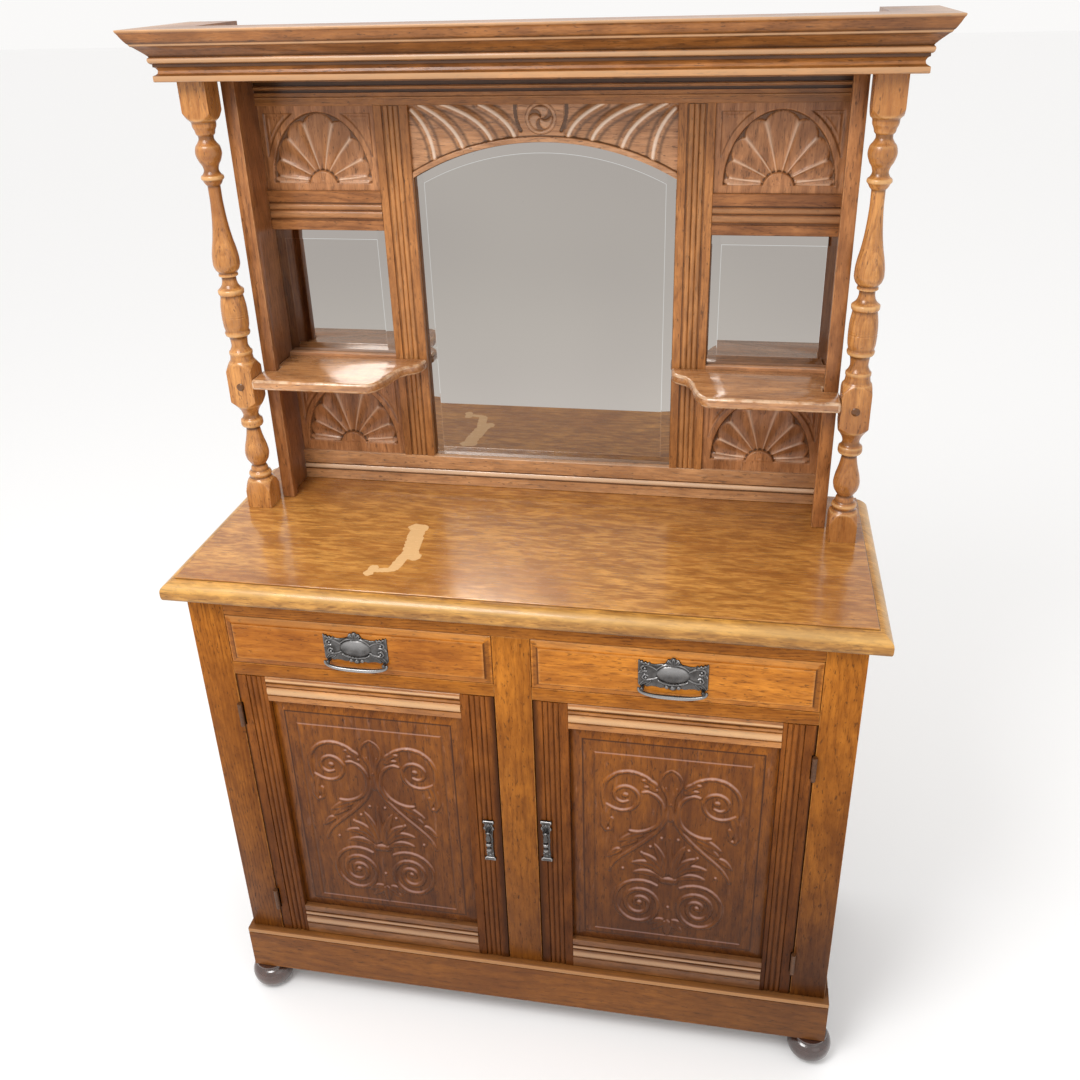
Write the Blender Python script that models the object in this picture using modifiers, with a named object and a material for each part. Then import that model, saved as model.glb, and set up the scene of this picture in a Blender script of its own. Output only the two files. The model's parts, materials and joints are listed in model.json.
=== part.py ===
# A mirror-back sideboard: a two-drawer, two-door oak base on bun feet, and a shelved back with
# three bevelled mirrors, four carved shells, turned columns and a deep cornice.
# Lengths are in metres. +X is to the right of someone who faces the doors, +Y is to the back, +Z is up.
# The origin is on the floor, under the middle of the sideboard's box.

import math

import bmesh
import bpy
from mathutils import Vector

# Clearances
SEAT = 0.0003
OVERRUN = 0.006
DOOR_GAP = 0.0015
DRAWER_GAP = 0.0012
WELD = 0.00001

# Base, from the floor up
CASE_WIDTH = 1.158
CASE_DEPTH = 0.4455
FOOT_HEIGHT = 0.059
PLINTH_HEIGHT = 0.107
DOOR_OPENING = 0.646
MID_RAIL = 0.026
DRAWER_OPENING = 0.100
TOP_RAIL = 0.038
TOP_THICKNESS = 0.037
OUTER_STILE = 0.065
CENTRE_STILE = 0.066
FRONT_THICKNESS = 0.022
SIDE_THICKNESS = 0.018
BACK_BOARD = 0.008
HOUSING_DEPTH = 0.006
SIDE_FRAME = 0.058
SIDE_RECESS = 0.005

# Feet and plinth
FOOT_RADIUS = 0.042
FOOT_INSET = 0.026
PLINTH_OUT = 0.0125
PLINTH_SIDE_OUT = 0.0085
PLINTH_THICKNESS = 0.022
PLINTH_BEAD = 0.012
PLINTH_LAP = 0.004
BEAD_GROOVE = 0.0018

# Top board
TOP_FRONT_OUT = 0.028
TOP_SIDE_OUT = 0.031
TOP_EDGE_INSET = 0.0205
TOP_FOOT_INSET = 0.0024
TOP_STEP = 0.0022

# Boards inside the base
BOTTOM_BOARD = 0.018
DUST_BOARD = 0.016
GUIDE_HEIGHT = 0.020
GUIDE_CLEAR = 0.0006
SHELF_BOARD = 0.015
SHELF_RISE = 0.310
SHELF_SETBACK = 0.030

# Drawers
DRAWER_FRONT = 0.018
DRAWER_FIELD_OUT = 0.0055
DRAWER_SLOPE_OUT = 0.0035
DRAWER_MARGIN = 0.0130
DRAWER_SHOULDER = 0.0008
DRAWER_WALL = 0.010
DRAWER_SIDE_HEIGHT = 0.086
DRAWER_BOX_DEPTH = 0.385
DRAWER_BOTTOM = 0.006
DRAWER_BOTTOM_RISE = 0.008
DRAWER_SIDE_CLEAR = 0.0008

# Drawer handles: the plate's middle is a little above the drawer's
HANDLE_RISE = 0.0065
HANDLE_HALF_WIDTH = 0.058
HANDLE_HALF_HEIGHT = 0.0255
HANDLE_PLATE = 0.002
BOSS_HALF_WIDTH = 0.024
BOSS_HALF_HEIGHT = 0.0155
BOSS_OUT = 0.0052
EAR_WIDTH = 0.005
EAR_HALF_HEIGHT = 0.0042
EAR_OUT = 0.0105
EAR_INSET = 0.0050
EAR_DROP = 0.0275
BAIL_WIRE = 0.0016
BAIL_HOLE = 0.0021
BAIL_DROP = 0.0160
BAIL_REACH = 0.0035
PIN_OUT = 0.0075

# Doors
DOOR_THICKNESS = 0.020
LOCK_STILE = 0.061
HINGE_STILE = 0.0555
DOOR_TOP_RAIL = 0.0535
DOOR_BOTTOM_RAIL = 0.0725
DOOR_GROOVE = 0.0030
DOOR_GROOVE_DEPTH = 0.0016
PANEL_THICKNESS = 0.011
PANEL_SETBACK = 0.0065
PANEL_RAISE = 0.0045
PANEL_BEVEL = 0.024

# Carving on the door panels: half width and height of the carved field, and its relief
CARVING_HALF_WIDTH = 0.117
CARVING_HEIGHT = 0.390
CARVING_FOOT = 0.062
CARVING_RELIEF = 0.0032
PALMETTE_LEAF = 0.030

# Door pulls
PULL_HALF_WIDTH = 0.011
PULL_HALF_HEIGHT = 0.0485
PULL_PLATE = 0.002
LEFT_PULL_RISE = 0.3110
RIGHT_PULL_RISE = 0.3250
LEFT_PULL_INSET = 0.0240
RIGHT_PULL_INSET = 0.0160
DROP_RADIUS = 0.0052
DROP_LENGTH = 0.046
DROP_PIN = 0.0009
DROP_PIN_HOLE = 0.0013
DROP_RISE = 0.0235
DROP_OUT = 0.0104
CHEEK_WIDTH = 0.0022
CHEEK_HALF_HEIGHT = 0.0036
CHEEK_GAP = 0.0066

# Hinges
HINGE_LENGTH = 0.050
KNUCKLE_RADIUS = 0.0044
KNUCKLE_CLEAR = 0.0006
LEAF_THICKNESS = 0.0008
LEAF_REACH = 0.018
HINGE_INSET = 0.062

# Back, from the top board up
UPPER_HEIGHT = 0.779
FRAME_THICKNESS = 0.030
UPPER_BACK_BOARD = 0.010
UPRIGHT_THICKNESS = 0.014
UPRIGHT_DEPTH = 0.132
UPRIGHT_EDGE = 0.024
UPRIGHT_EDGE_DEPTH = 0.018
BACK_HALF_WIDTH = 0.508
BACK_BOTTOM_RAIL = 0.062
LOWER_SHELL_HEIGHT = 0.1846
SHELF_FILLET = 0.0234
SIDE_MIRROR_HEIGHT = 0.237
REEDED_RAIL = 0.070
BACK_TOP_RAIL = 0.057
MUNTIN_INNER = 0.232
MUNTIN_OUTER = 0.293
RAIL_GROOVE = 0.0030
RAIL_GROOVE_DEPTH = 0.0022
RAIL_GROOVE_PITCH = 0.0130

# Mirrors
MIRROR_THICKNESS = 0.005
MIRROR_SETBACK = 0.010
MIRROR_BEVEL = 0.018
MIRROR_BEVEL_DROP = 0.0018
ARCH_SPRING = 0.537
ARCH_RISE = 0.061

# Head panel over the middle mirror
HEAD_THICKNESS = 0.016
HEAD_SETBACK = 0.004
FLUTE_RELIEF = 0.0050
FLUTE_SUNK = 0.0006
ROUNDEL_RADIUS = 0.026
ROUNDEL_OUT = 0.006
ROUNDEL_DROP = 0.0217
FLUTE_WIDTH = 0.016

# Shell panels
SHELL_THICKNESS = 0.014
SHELL_SETBACK = 0.006
SHELL_HALF_WIDTH = 0.092
SHELL_RISE = 0.121
SHELL_SUNK = 0.0070
SHELL_HUB = 0.018
SHELL_HUB_OUT = 0.0012
SHELL_HUB_FOOT = 0.0030
SHELL_BASE_UPPER = 0.0126
SHELL_BASE_LOWER = 0.0200
SHELL_LOBE_OUT = 0.0060
SHELL_LOBE_SUNK = 0.0009
SHELL_LOBE_CLEAR = 0.0040

# Columns
COLUMN_INSET = 0.080
COLUMN_Y = 0.286
COLUMN_BLOCK = 0.048
BASE_BLOCK = 0.032
LOWER_TURNING = 0.187
MIDDLE_BLOCK = 0.058
UPPER_TURNING = 0.452

# Shelves
SHELF_THICKNESS = 0.019
SHELF_FRONT = 0.2565
SHELF_NOTCH_X = 0.306
SHELF_NOSE_Y = 0.360

# Cornice and canopy
CORNICE_HALF_WIDTH = 0.628
CORNICE_FRONT = 0.197
CORNICE_HEIGHT = 0.079
CORNICE_PROJECTION = 0.034
CORNICE_RING = 0.090
CANOPY_BOARD = 0.012

# Counts
TURNED_STEPS = 12
FINE_STEPS = 8
ROUNDEL_STEPS = 20
ARCH_STEPS = 16
SHELL_STEPS = 20
HUB_STEPS = 8
BAIL_STEPS = 14
SHELL_LOBES = 9
HEAD_FLUTES = 4

# The column's lathe profile: share of the stretch's height, share of the block's half width
CORNER_SHARE = 1.44
LOWER_TURNING_SHARES = (
    (0.00, 1.44), (0.05, 1.29), (0.10, 1.12), (0.13, 0.94), (0.15, 0.84), (0.18, 0.90), (0.20, 0.85),
    (0.22, 0.69), (0.25, 0.65), (0.28, 0.56), (0.31, 0.69), (0.35, 0.86), (0.41, 0.94), (0.48, 0.87),
    (0.56, 0.71), (0.64, 0.58), (0.70, 0.53), (0.71, 0.77), (0.74, 0.86), (0.78, 0.83), (0.80, 0.67),
    (0.83, 0.60), (0.87, 0.67), (0.91, 0.84), (0.95, 1.08), (1.00, 1.44),
)
UPPER_TURNING_SHARES = (
    (0.000, 1.44), (0.018, 1.20), (0.034, 1.00), (0.044, 0.88), (0.064, 0.84), (0.067, 0.88),
    (0.077, 0.88), (0.084, 0.77), (0.106, 0.62), (0.128, 0.65), (0.142, 0.73), (0.147, 0.90),
    (0.159, 0.94), (0.166, 0.88), (0.188, 0.95), (0.228, 0.98), (0.265, 0.95), (0.292, 0.88),
    (0.310, 0.84), (0.316, 0.94), (0.330, 0.96), (0.336, 0.85), (0.343, 0.71), (0.356, 0.58),
    (0.372, 0.53), (0.383, 0.54), (0.387, 0.71), (0.396, 0.70), (0.398, 0.67), (0.414, 0.87),
    (0.436, 0.98), (0.458, 0.97), (0.487, 0.90), (0.531, 0.73), (0.580, 0.59), (0.631, 0.50),
    (0.686, 0.45), (0.730, 0.45), (0.739, 0.58), (0.752, 0.71), (0.759, 0.81), (0.768, 0.79),
    (0.774, 0.65), (0.790, 0.52), (0.805, 0.58), (0.823, 0.77), (0.852, 0.92), (0.874, 0.85),
    (0.889, 0.65), (0.903, 0.53), (0.912, 0.54), (0.918, 0.65), (0.931, 0.71), (0.947, 0.83),
    (0.960, 0.85), (0.973, 1.08), (1.000, 1.44),
)

# The bun foot: share of its height from the floor, share of its radius
FOOT_SHARES = (
    (1.00, 0.78), (0.93, 0.78), (0.90, 0.70), (0.84, 0.72), (0.74, 0.90),
    (0.55, 1.00), (0.36, 0.97), (0.18, 0.84), (0.00, 0.66),
)

# The cornice: share of its height from the underside, share of its projection
CORNICE_SHARES = (
    (0.00, 1.00), (0.02, 1.00), (0.085, 1.18), (0.19, 1.20), (0.23, 1.13), (0.33, 0.90), (0.39, 0.87),
    (0.43, 0.97), (0.51, 0.85), (0.61, 0.61), (0.72, 0.44), (0.81, 0.28), (0.895, 0.15), (1.00, 0.00),
)

# The top board's edge: share of its thickness, share of the edge's inset
TOP_EDGE_SHARES = ((0.10, 0.06), (0.30, 0.00), (0.53, 0.00), (0.66, 0.09), (0.76, 0.25), (0.85, 0.50))

# A handle plate's right half, as shares of its half width and half height
HANDLE_SHARES = (
    (0.00, 1.31), (0.11, 1.22), (0.20, 0.96), (0.36, 0.66), (0.58, 0.56), (0.80, 0.80), (0.92, 1.02),
    (1.00, 0.96), (0.95, 0.40), (0.97, -0.30), (1.00, -1.02), (0.92, -1.15), (0.78, -1.12),
    (0.66, -0.68), (0.44, -0.58), (0.30, -0.90), (0.14, -1.20), (0.00, -1.27),
)

# A pull plate's right half, as shares of its half width and half height
PULL_SHARES = (
    (0.00, 1.00), (0.86, 1.00), (1.00, 0.90), (0.72, 0.76), (0.98, 0.60), (0.74, 0.42), (0.58, 0.20),
    (0.66, 0.00), (0.58, -0.34), (0.68, -0.62), (0.62, -0.80), (0.92, -0.88), (1.00, -1.00),
)

# The pendant drop: share of its length below the pivot, share of its radius
DROP_SHARES = (
    (0.00, 0.00), (0.01, 0.36), (0.06, 0.50), (0.14, 0.50), (0.24, 0.76), (0.36, 1.00), (0.48, 0.86),
    (0.56, 0.50),
    (0.60, 1.06), (0.70, 1.10), (0.75, 0.44), (0.82, 0.66), (0.90, 0.70), (0.97, 0.42), (1.00, 0.00),
)

# A shelf's curved inner end: share of the way in from the notch to the muntin, share of its nose depth
SHELF_CURVE_SHARES = (
    (0.00, 0.00), (0.10, 0.03), (0.20, 0.10), (0.30, 0.24), (0.39, 0.44), (0.44, 0.66), (0.52, 0.84),
    (0.64, 0.97), (0.76, 1.02), (0.88, 1.08), (0.96, 1.18), (1.00, 1.36),
)

# The carving's S-scroll, upper volute and lower spiral, as shares of its half width and height
SCROLL_SHARES = (
    (0.74, 0.55), (0.42, 0.60), (0.22, 0.72), (0.14, 0.86), (0.30, 0.97), (0.62, 1.00), (0.86, 0.92),
)
UPPER_EYE_SHARE = (0.66, 0.84)
LOWER_EYE_SHARE = (0.46, 0.20)
UPPER_EYE_RADIUS_SHARE = 0.25
LOWER_EYE_RADIUS_SHARE = 0.40
PALMETTE_SHARE = (0.00, 0.33)
PALMETTE_TURN_SHARES = (-0.92, -0.62, -0.32, 0.00, 0.32, 0.62, 0.92)
PALMETTE_SPREAD_SHARE = 0.25
PALMETTE_WIDTH_SHARE = 0.22

# The level grooves on a door's rails, as shares of each rail's height
DOOR_TOP_GROOVE_SHARES = (0.23, 0.70, 0.92)
DOOR_BOTTOM_GROOVE_SHARES = (0.35, 0.62, 0.76)

# The grooves of a reeded rail or muntin, counted from its middle
RAIL_GROOVE_PLACES = (-1, 0, 1)

# Carved details, as shares of the size that each follows
BAIL_SWELL_SHARE = 1.7
BAIL_BOW_SHARE = 0.55
DROP_NECK_SHARE = 0.55
ROUNDEL_SHOWN_SHARE = 0.80
FLUTE_START_SHARE = 0.05
FLUTE_LENGTH_SHARE = 0.42
FLUTE_LEAN_SHARE = 0.38
LOBE_CENTRE_SHARE = 0.50
LOBE_START_SHARE = 0.60
LOBE_WIDTH_SHARE = 0.17

# Levels worked out from the sizes above
CASE_HALF = CASE_WIDTH / 2
FRONT_REACH = max(TOP_FRONT_OUT, PLINTH_OUT - FOOT_INSET + FOOT_RADIUS)
FRONT = (FRONT_REACH - CASE_DEPTH) / 2
BACK = FRONT + CASE_DEPTH
PLINTH_Z = FOOT_HEIGHT
CASE_Z = PLINTH_Z + PLINTH_HEIGHT
DOOR_TOP_Z = CASE_Z + DOOR_OPENING
DRAWER_Z = DOOR_TOP_Z + MID_RAIL
DRAWER_TOP_Z = DRAWER_Z + DRAWER_OPENING
CASE_TOP_Z = DRAWER_TOP_Z + TOP_RAIL
TOP_Z = CASE_TOP_Z + TOP_THICKNESS
OPENING_IN = CENTRE_STILE / 2
OPENING_OUT = CASE_HALF - OUTER_STILE
INNER_HALF = CASE_HALF - SIDE_THICKNESS
INNER_FRONT = FRONT + FRONT_THICKNESS
INNER_BACK = BACK - BACK_BOARD

FRAME_FRONT = BACK - UPPER_BACK_BOARD - FRAME_THICKNESS
CORNICE_Z = TOP_Z + UPPER_HEIGHT
LOWER_SHELL_Z = TOP_Z + BACK_BOTTOM_RAIL
SHELF_Z = LOWER_SHELL_Z + LOWER_SHELL_HEIGHT
MIRROR_Z = SHELF_Z + SHELF_FILLET
REEDED_Z = MIRROR_Z + SIDE_MIRROR_HEIGHT
UPPER_SHELL_Z = REEDED_Z + REEDED_RAIL
HEAD_Z = CORNICE_Z - BACK_TOP_RAIL
COLUMN_X = CORNICE_HALF_WIDTH - COLUMN_INSET

CARVING_EYES = ((UPPER_EYE_SHARE, UPPER_EYE_RADIUS_SHARE), (LOWER_EYE_SHARE, LOWER_EYE_RADIUS_SHARE))

# Where each drawer, door and opening lies, measured from the middle
DRAWER_IN = OPENING_IN + DRAWER_GAP
DRAWER_OUT = OPENING_OUT - DRAWER_GAP
DRAWER_MIDDLE = (DRAWER_IN + DRAWER_OUT) / 2
DOOR_IN = OPENING_IN + DOOR_GAP
DOOR_OUT = OPENING_OUT - DOOR_GAP
PANEL_IN = DOOR_IN + LOCK_STILE
PANEL_OUT = DOOR_OUT - HINGE_STILE
DOOR_Z = CASE_Z + DOOR_GAP
DOOR_HEAD_Z = DOOR_TOP_Z - DOOR_GAP
PANEL_Z = DOOR_Z + DOOR_BOTTOM_RAIL
PANEL_TOP_Z = DOOR_HEAD_Z - DOOR_TOP_RAIL
HINGE_X = OPENING_OUT - DOOR_GAP / 2
HINGE_Y = FRONT - KNUCKLE_RADIUS - KNUCKLE_CLEAR

SIDES = ((-1, "left"), (1, "right"))


def new_collection(name):
    collection = bpy.data.collections.new(name)
    bpy.context.scene.collection.children.link(collection)
    return collection


def new_material(name, colour, roughness, metallic=0.0):
    material = bpy.data.materials.new(name)
    material.use_nodes = True
    shader = material.node_tree.nodes["Principled BSDF"]
    shader.inputs["Base Color"].default_value = (*colour, 1)
    shader.inputs["Roughness"].default_value = roughness
    shader.inputs["Metallic"].default_value = metallic
    material.diffuse_color = (*colour, 1)
    return material


def add_object(name, data, finish):
    obj = bpy.data.objects.new(name, data)
    parts.objects.link(obj)
    if data is not None:
        data.materials.append(finish)
    return obj


def mesh_from(bm, name):
    bmesh.ops.recalc_face_normals(bm, faces=bm.faces)
    mesh = bpy.data.meshes.new(name)
    bm.to_mesh(mesh)
    bm.free()
    return mesh


def middle(pair):
    return (pair[0] + pair[1]) / 2


def across(side, near, far):
    """The X range from near to far on one side of the middle, in rising order."""
    return tuple(sorted((side * near, side * far)))


def block(name, x, y, z, finish):
    """A square-edged board between three pairs of limits."""
    bm = bmesh.new()
    bmesh.ops.create_cube(bm, size=1)
    bmesh.ops.scale(bm, vec=(x[1] - x[0], y[1] - y[0], z[1] - z[0]), verts=bm.verts)
    obj = add_object(name, mesh_from(bm, name), finish)
    obj.location = (middle(x), middle(y), middle(z))
    return obj


def stacked(name, x, y, levels, finish, moulded_sides=(1, 1, 1, 0)):
    """A block whose outline steps in and out with height: levels are (inset, height) from the bottom.

    moulded_sides says which of the -X, +X, -Y and +Y sides follow the insets.
    """
    bm = bmesh.new()
    bmesh.ops.create_cube(bm, size=1)
    low = [vert for vert in bm.verts if vert.co.z < 0]
    high = [vert for vert in bm.verts if vert.co.z > 0]

    def place(verts, inset, height):
        for vert in verts:
            left, front = vert.co.x < middle(x), vert.co.y < middle(y)
            vert.co.x = x[0] + inset * moulded_sides[0] if left else x[1] - inset * moulded_sides[1]
            vert.co.y = y[0] + inset * moulded_sides[2] if front else y[1] - inset * moulded_sides[3]
            vert.co.z = height

    for vert in bm.verts:
        vert.co.x += middle(x)
        vert.co.y += middle(y)
    top = next(face for face in bm.faces if all(vert in high for vert in face.verts))
    place(low, *levels[0])
    place(high, *levels[1])
    for inset, height in levels[2:]:
        grown = bmesh.ops.extrude_face_region(bm, geom=[top])["geom"]
        if top.is_valid:
            bmesh.ops.delete(bm, geom=[top], context="FACES_ONLY")
        top = next(item for item in grown if isinstance(item, bmesh.types.BMFace))
        place(top.verts, inset, height)
    return add_object(name, mesh_from(bm, name), finish)


def fielded(name, x, z, back, levels, finish):
    """A panel that faces the front: levels are (inset, distance in front of the back)."""
    obj = stacked(name, x, z, levels, finish, (1, 1, 1, 1))
    obj.rotation_euler = (math.pi / 2, 0, 0)
    obj.location.y = back
    return obj


def plate(name, outlines, thickness, finish, standing=None, z=0):
    """A flat outline of even thickness, made from a filled curve.

    standing gives the Y of its middle when it stands up facing the front; otherwise it lies flat
    with its middle at z.
    """
    curve = bpy.data.curves.new(name, "CURVE")
    curve.dimensions = "2D"
    curve.fill_mode = "BOTH"
    curve.extrude = thickness / 2
    for outline in outlines:
        spline = curve.splines.new("POLY")
        spline.points.add(len(outline) - 1)
        for point, (across_it, along_it) in zip(spline.points, outline):
            point.co = (across_it, along_it, 0, 1)
        spline.use_cyclic_u = True
    shape = bpy.data.objects.new(name + "_outline", curve)
    parts.objects.link(shape)
    if standing is not None:
        shape.rotation_euler = (math.pi / 2, 0, 0)
        shape.location.y = standing
    else:
        shape.location.z = z
    return meshed(shape, name, finish)


def meshed(shape, name, finish):
    """The mesh of a curve or modified object, as a new object with that name."""
    bpy.context.view_layer.update()
    evaluated = shape.evaluated_get(bpy.context.evaluated_depsgraph_get())
    mesh = bpy.data.meshes.new_from_object(evaluated)
    bm = bmesh.new()
    bm.from_mesh(mesh)
    bmesh.ops.remove_doubles(bm, verts=bm.verts, dist=WELD)
    bmesh.ops.recalc_face_normals(bm, faces=bm.faces)
    bm.to_mesh(mesh)
    bm.free()
    mesh.name = name
    mesh.materials.clear()
    obj = add_object(name, mesh, finish)
    obj.matrix_world = shape.matrix_world.copy()
    bpy.data.objects.remove(shape)
    return obj


def turned(name, profile, place, finish):
    """A lathe-turned solid about Z: profile is (radius, height) from the top down its outer side."""
    mesh = bpy.data.meshes.new(name)
    mesh.from_pydata([(radius, 0, height) for radius, height in profile],
                     [(i, i + 1) for i in range(len(profile) - 1)], [])
    obj = add_object(name, mesh, finish)
    obj.location = place
    screw = obj.modifiers.new("lathe", "SCREW")
    screw.axis = "Z"
    screw.steps = TURNED_STEPS
    screw.render_steps = TURNED_STEPS
    screw.use_merge_vertices = True
    screw.merge_threshold = WELD
    screw.use_smooth_shade = True
    return obj


def rod(name, start, end, radius, finish, steps=TURNED_STEPS):
    """A plain round rod between two points."""
    start, end = Vector(start), Vector(end)
    bm = bmesh.new()
    bmesh.ops.create_cone(bm, cap_ends=True, segments=steps, radius1=radius, radius2=radius,
                          depth=(end - start).length)
    obj = add_object(name, mesh_from(bm, name), finish)
    obj.location = (start + end) / 2
    obj.rotation_mode = "QUATERNION"
    obj.rotation_quaternion = (end - start).to_track_quat("Z", "Y")
    return obj


def bead(name, place, radii, finish, segments=10, rings=6, turn=0):
    """An ellipsoid, turned about Y."""
    bm = bmesh.new()
    bmesh.ops.create_uvsphere(bm, u_segments=segments, v_segments=rings, radius=1)
    bmesh.ops.scale(bm, vec=radii, verts=bm.verts)
    obj = add_object(name, mesh_from(bm, name), finish)
    obj.location = place
    obj.rotation_euler = (0, turn, 0)
    return obj


def wire(name, points, radius, finish, swell=None):
    """A round bar along a list of points, with an optional thickness share for each point."""
    curve = bpy.data.curves.new(name, "CURVE")
    curve.dimensions = "3D"
    curve.bevel_depth = radius
    curve.bevel_resolution = 1
    curve.use_fill_caps = True
    spline = curve.splines.new("POLY")
    spline.points.add(len(points) - 1)
    for i, point in enumerate(points):
        spline.points[i].co = (*point, 1)
        spline.points[i].radius = swell[i] if swell else 1
    shape = bpy.data.objects.new(name + "_path", curve)
    parts.objects.link(shape)
    return meshed(shape, name, finish)


def combine(obj, tool, operation):
    """Adds, cuts or intersects one solid with another, which becomes a hidden helper."""
    parts.objects.unlink(tool)
    cutters.objects.link(tool)
    tool.name = f"{obj.name}_{operation.lower()}_{len(obj.modifiers)}"
    tool.hide_render = True
    tool.display_type = "WIRE"
    modifier = obj.modifiers.new(operation.lower(), "BOOLEAN")
    modifier.operation = operation
    modifier.object = tool
    modifier.solver = "EXACT"


def mirrored_outline(half, x, z, half_width, half_height):
    """A symmetric outline from the shares of its right half, listed from the top to the bottom."""
    right = [(x + a * half_width, z + b * half_height) for a, b in half]
    left = [(x - a * half_width, z + b * half_height) for a, b in reversed(half) if a > 0]
    return right + left


def rectangle(x, z):
    return [(x[0], z[0]), (x[1], z[0]), (x[1], z[1]), (x[0], z[1])]


def ride_on(children, axis):
    """Parents each piece, and the helpers that shape it, to the empty on its joint's axis, in place."""
    bpy.context.view_layer.update()
    helpers = [modifier.object for child in children for modifier in child.modifiers
               if modifier.type == "BOOLEAN"]
    for child in children:
        child.parent = axis
        child.matrix_parent_inverse = axis.matrix_world.inverted()
    if helpers:
        ride_on(helpers, axis)


def joint_axis(name, place):
    axis = bpy.data.objects.new(name, None)
    axis.empty_display_size = HINGE_LENGTH
    axis.location = place
    parts.objects.link(axis)
    return axis


def make_feet():
    feet_x = CASE_HALF + PLINTH_SIDE_OUT - FOOT_INSET
    front_y = FRONT - PLINTH_OUT + FOOT_INSET
    back_y = BACK - FOOT_RADIUS
    profile = [(0, FOOT_HEIGHT)]
    profile += [(radius * FOOT_RADIUS, height * FOOT_HEIGHT) for height, radius in FOOT_SHARES]
    profile += [(0, 0)]
    for side, label in SIDES:
        for end, y in (("front", front_y), ("back", back_y)):
            turned(f"{label}_{end}_foot", profile, (side * feet_x, y, 0), dark_oak)


def plinth_levels():
    bead_z = CASE_Z - PLINTH_BEAD
    return (
        (0, PLINTH_Z + SEAT),
        (0, bead_z - BEAD_GROOVE),
        (BEAD_GROOVE, bead_z),
        (0, bead_z + BEAD_GROOVE),
        (0, CASE_Z - BEAD_GROOVE),
        (BEAD_GROOVE, CASE_Z),
    )


def make_plinth():
    half = CASE_HALF + PLINTH_SIDE_OUT
    # The front board is thick enough to close the slot below the bottom board's front edge.
    front_y = (FRONT - PLINTH_OUT, INNER_FRONT + PLINTH_LAP)
    stacked("plinth_front", (-half, half), front_y, plinth_levels(), oak)
    for side, label in SIDES:
        outer_only = (1, 0, 0, 0) if side < 0 else (0, 1, 0, 0)
        stacked(f"plinth_{label}", across(side, half - PLINTH_THICKNESS, half),
                (front_y[1] + SEAT, BACK), plinth_levels(), oak, outer_only)


def make_case_side(side, label):
    z = (CASE_Z + SEAT, CASE_TOP_Z)
    y = (INNER_FRONT + SEAT, BACK)
    panel = block(f"{label}_side", across(side, INNER_HALF, CASE_HALF), y, z, oak)
    recess = block("recess", across(side, CASE_HALF - SIDE_RECESS, CASE_HALF + OVERRUN),
                   (FRONT + OUTER_STILE, BACK - SIDE_FRAME), (z[0] + SIDE_FRAME, z[1] - SIDE_FRAME), oak)
    combine(panel, recess, "DIFFERENCE")
    housed = across(side, INNER_HALF - OVERRUN, INNER_HALF + HOUSING_DEPTH)
    shelf_z = (CASE_Z + SHELF_RISE - SEAT, CASE_Z + SHELF_RISE + SHELF_BOARD + SEAT)
    dust_z = (DRAWER_Z - DUST_BOARD - SEAT, DRAWER_Z + SEAT)
    combine(panel, block("shelf_housing", housed, (y[0] - OVERRUN, INNER_BACK), shelf_z, oak), "DIFFERENCE")
    combine(panel, block("dust_housing", housed, (y[0] - OVERRUN, INNER_BACK), dust_z, oak), "DIFFERENCE")


def make_front_frame():
    y = (FRONT, INNER_FRONT)
    for side, label in SIDES:
        block(f"{label}_stile", across(side, OPENING_OUT, CASE_HALF), y, (CASE_Z + SEAT, CASE_TOP_Z), oak)
        block(f"{label}_mid_rail", across(side, OPENING_IN + SEAT, OPENING_OUT - SEAT), y,
              (DOOR_TOP_Z, DRAWER_Z), oak)
    block("centre_stile", (-OPENING_IN, OPENING_IN), y, (CASE_Z + SEAT, DRAWER_TOP_Z), oak)
    block("top_rail", (SEAT - OPENING_OUT, OPENING_OUT - SEAT), y, (DRAWER_TOP_Z + SEAT, CASE_TOP_Z), oak)


def make_inner_boards():
    inner = INNER_HALF - SEAT
    y = (INNER_FRONT + SEAT, INNER_BACK - SEAT)
    block("bottom_board", (-inner, inner), y, (CASE_Z + SEAT, CASE_Z + BOTTOM_BOARD), plain_oak)
    block("base_back", (-inner, inner), (INNER_BACK, BACK), (CASE_Z + SEAT, CASE_TOP_Z), plain_oak)
    housed = INNER_HALF + HOUSING_DEPTH - SEAT
    shelf_z = CASE_Z + SHELF_RISE
    block("cupboard_shelf", (-housed, housed), (y[0] + SHELF_SETBACK, y[1]),
          (shelf_z, shelf_z + SHELF_BOARD), plain_oak)
    # The dust board's section: the board, a guide between the drawers and one at each end.
    board_z, guide_z = DRAWER_Z - DUST_BOARD, DRAWER_Z + GUIDE_HEIGHT
    centre, outer = OPENING_IN - GUIDE_CLEAR, OPENING_OUT + GUIDE_CLEAR
    right = [(housed, board_z), (housed, DRAWER_Z), (inner, DRAWER_Z), (inner, guide_z), (outer, guide_z),
             (outer, DRAWER_Z), (centre, DRAWER_Z), (centre, guide_z)]
    section = right + [(-x, z) for x, z in reversed(right)]
    plate("dust_board", [section], y[1] - y[0], plain_oak, standing=middle(y))


def make_top_board():
    half = CASE_HALF + TOP_SIDE_OUT
    levels = [(TOP_FOOT_INSET, CASE_TOP_Z + SEAT)]
    levels += [(inset * TOP_EDGE_INSET, CASE_TOP_Z + share * TOP_THICKNESS) for share, inset in TOP_EDGE_SHARES]
    levels += [(TOP_EDGE_INSET - TOP_STEP, TOP_Z - TOP_STEP), (TOP_EDGE_INSET, TOP_Z)]
    stacked("top_board", (-half, half), (FRONT - TOP_FRONT_OUT, BACK), levels, oak)


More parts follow.
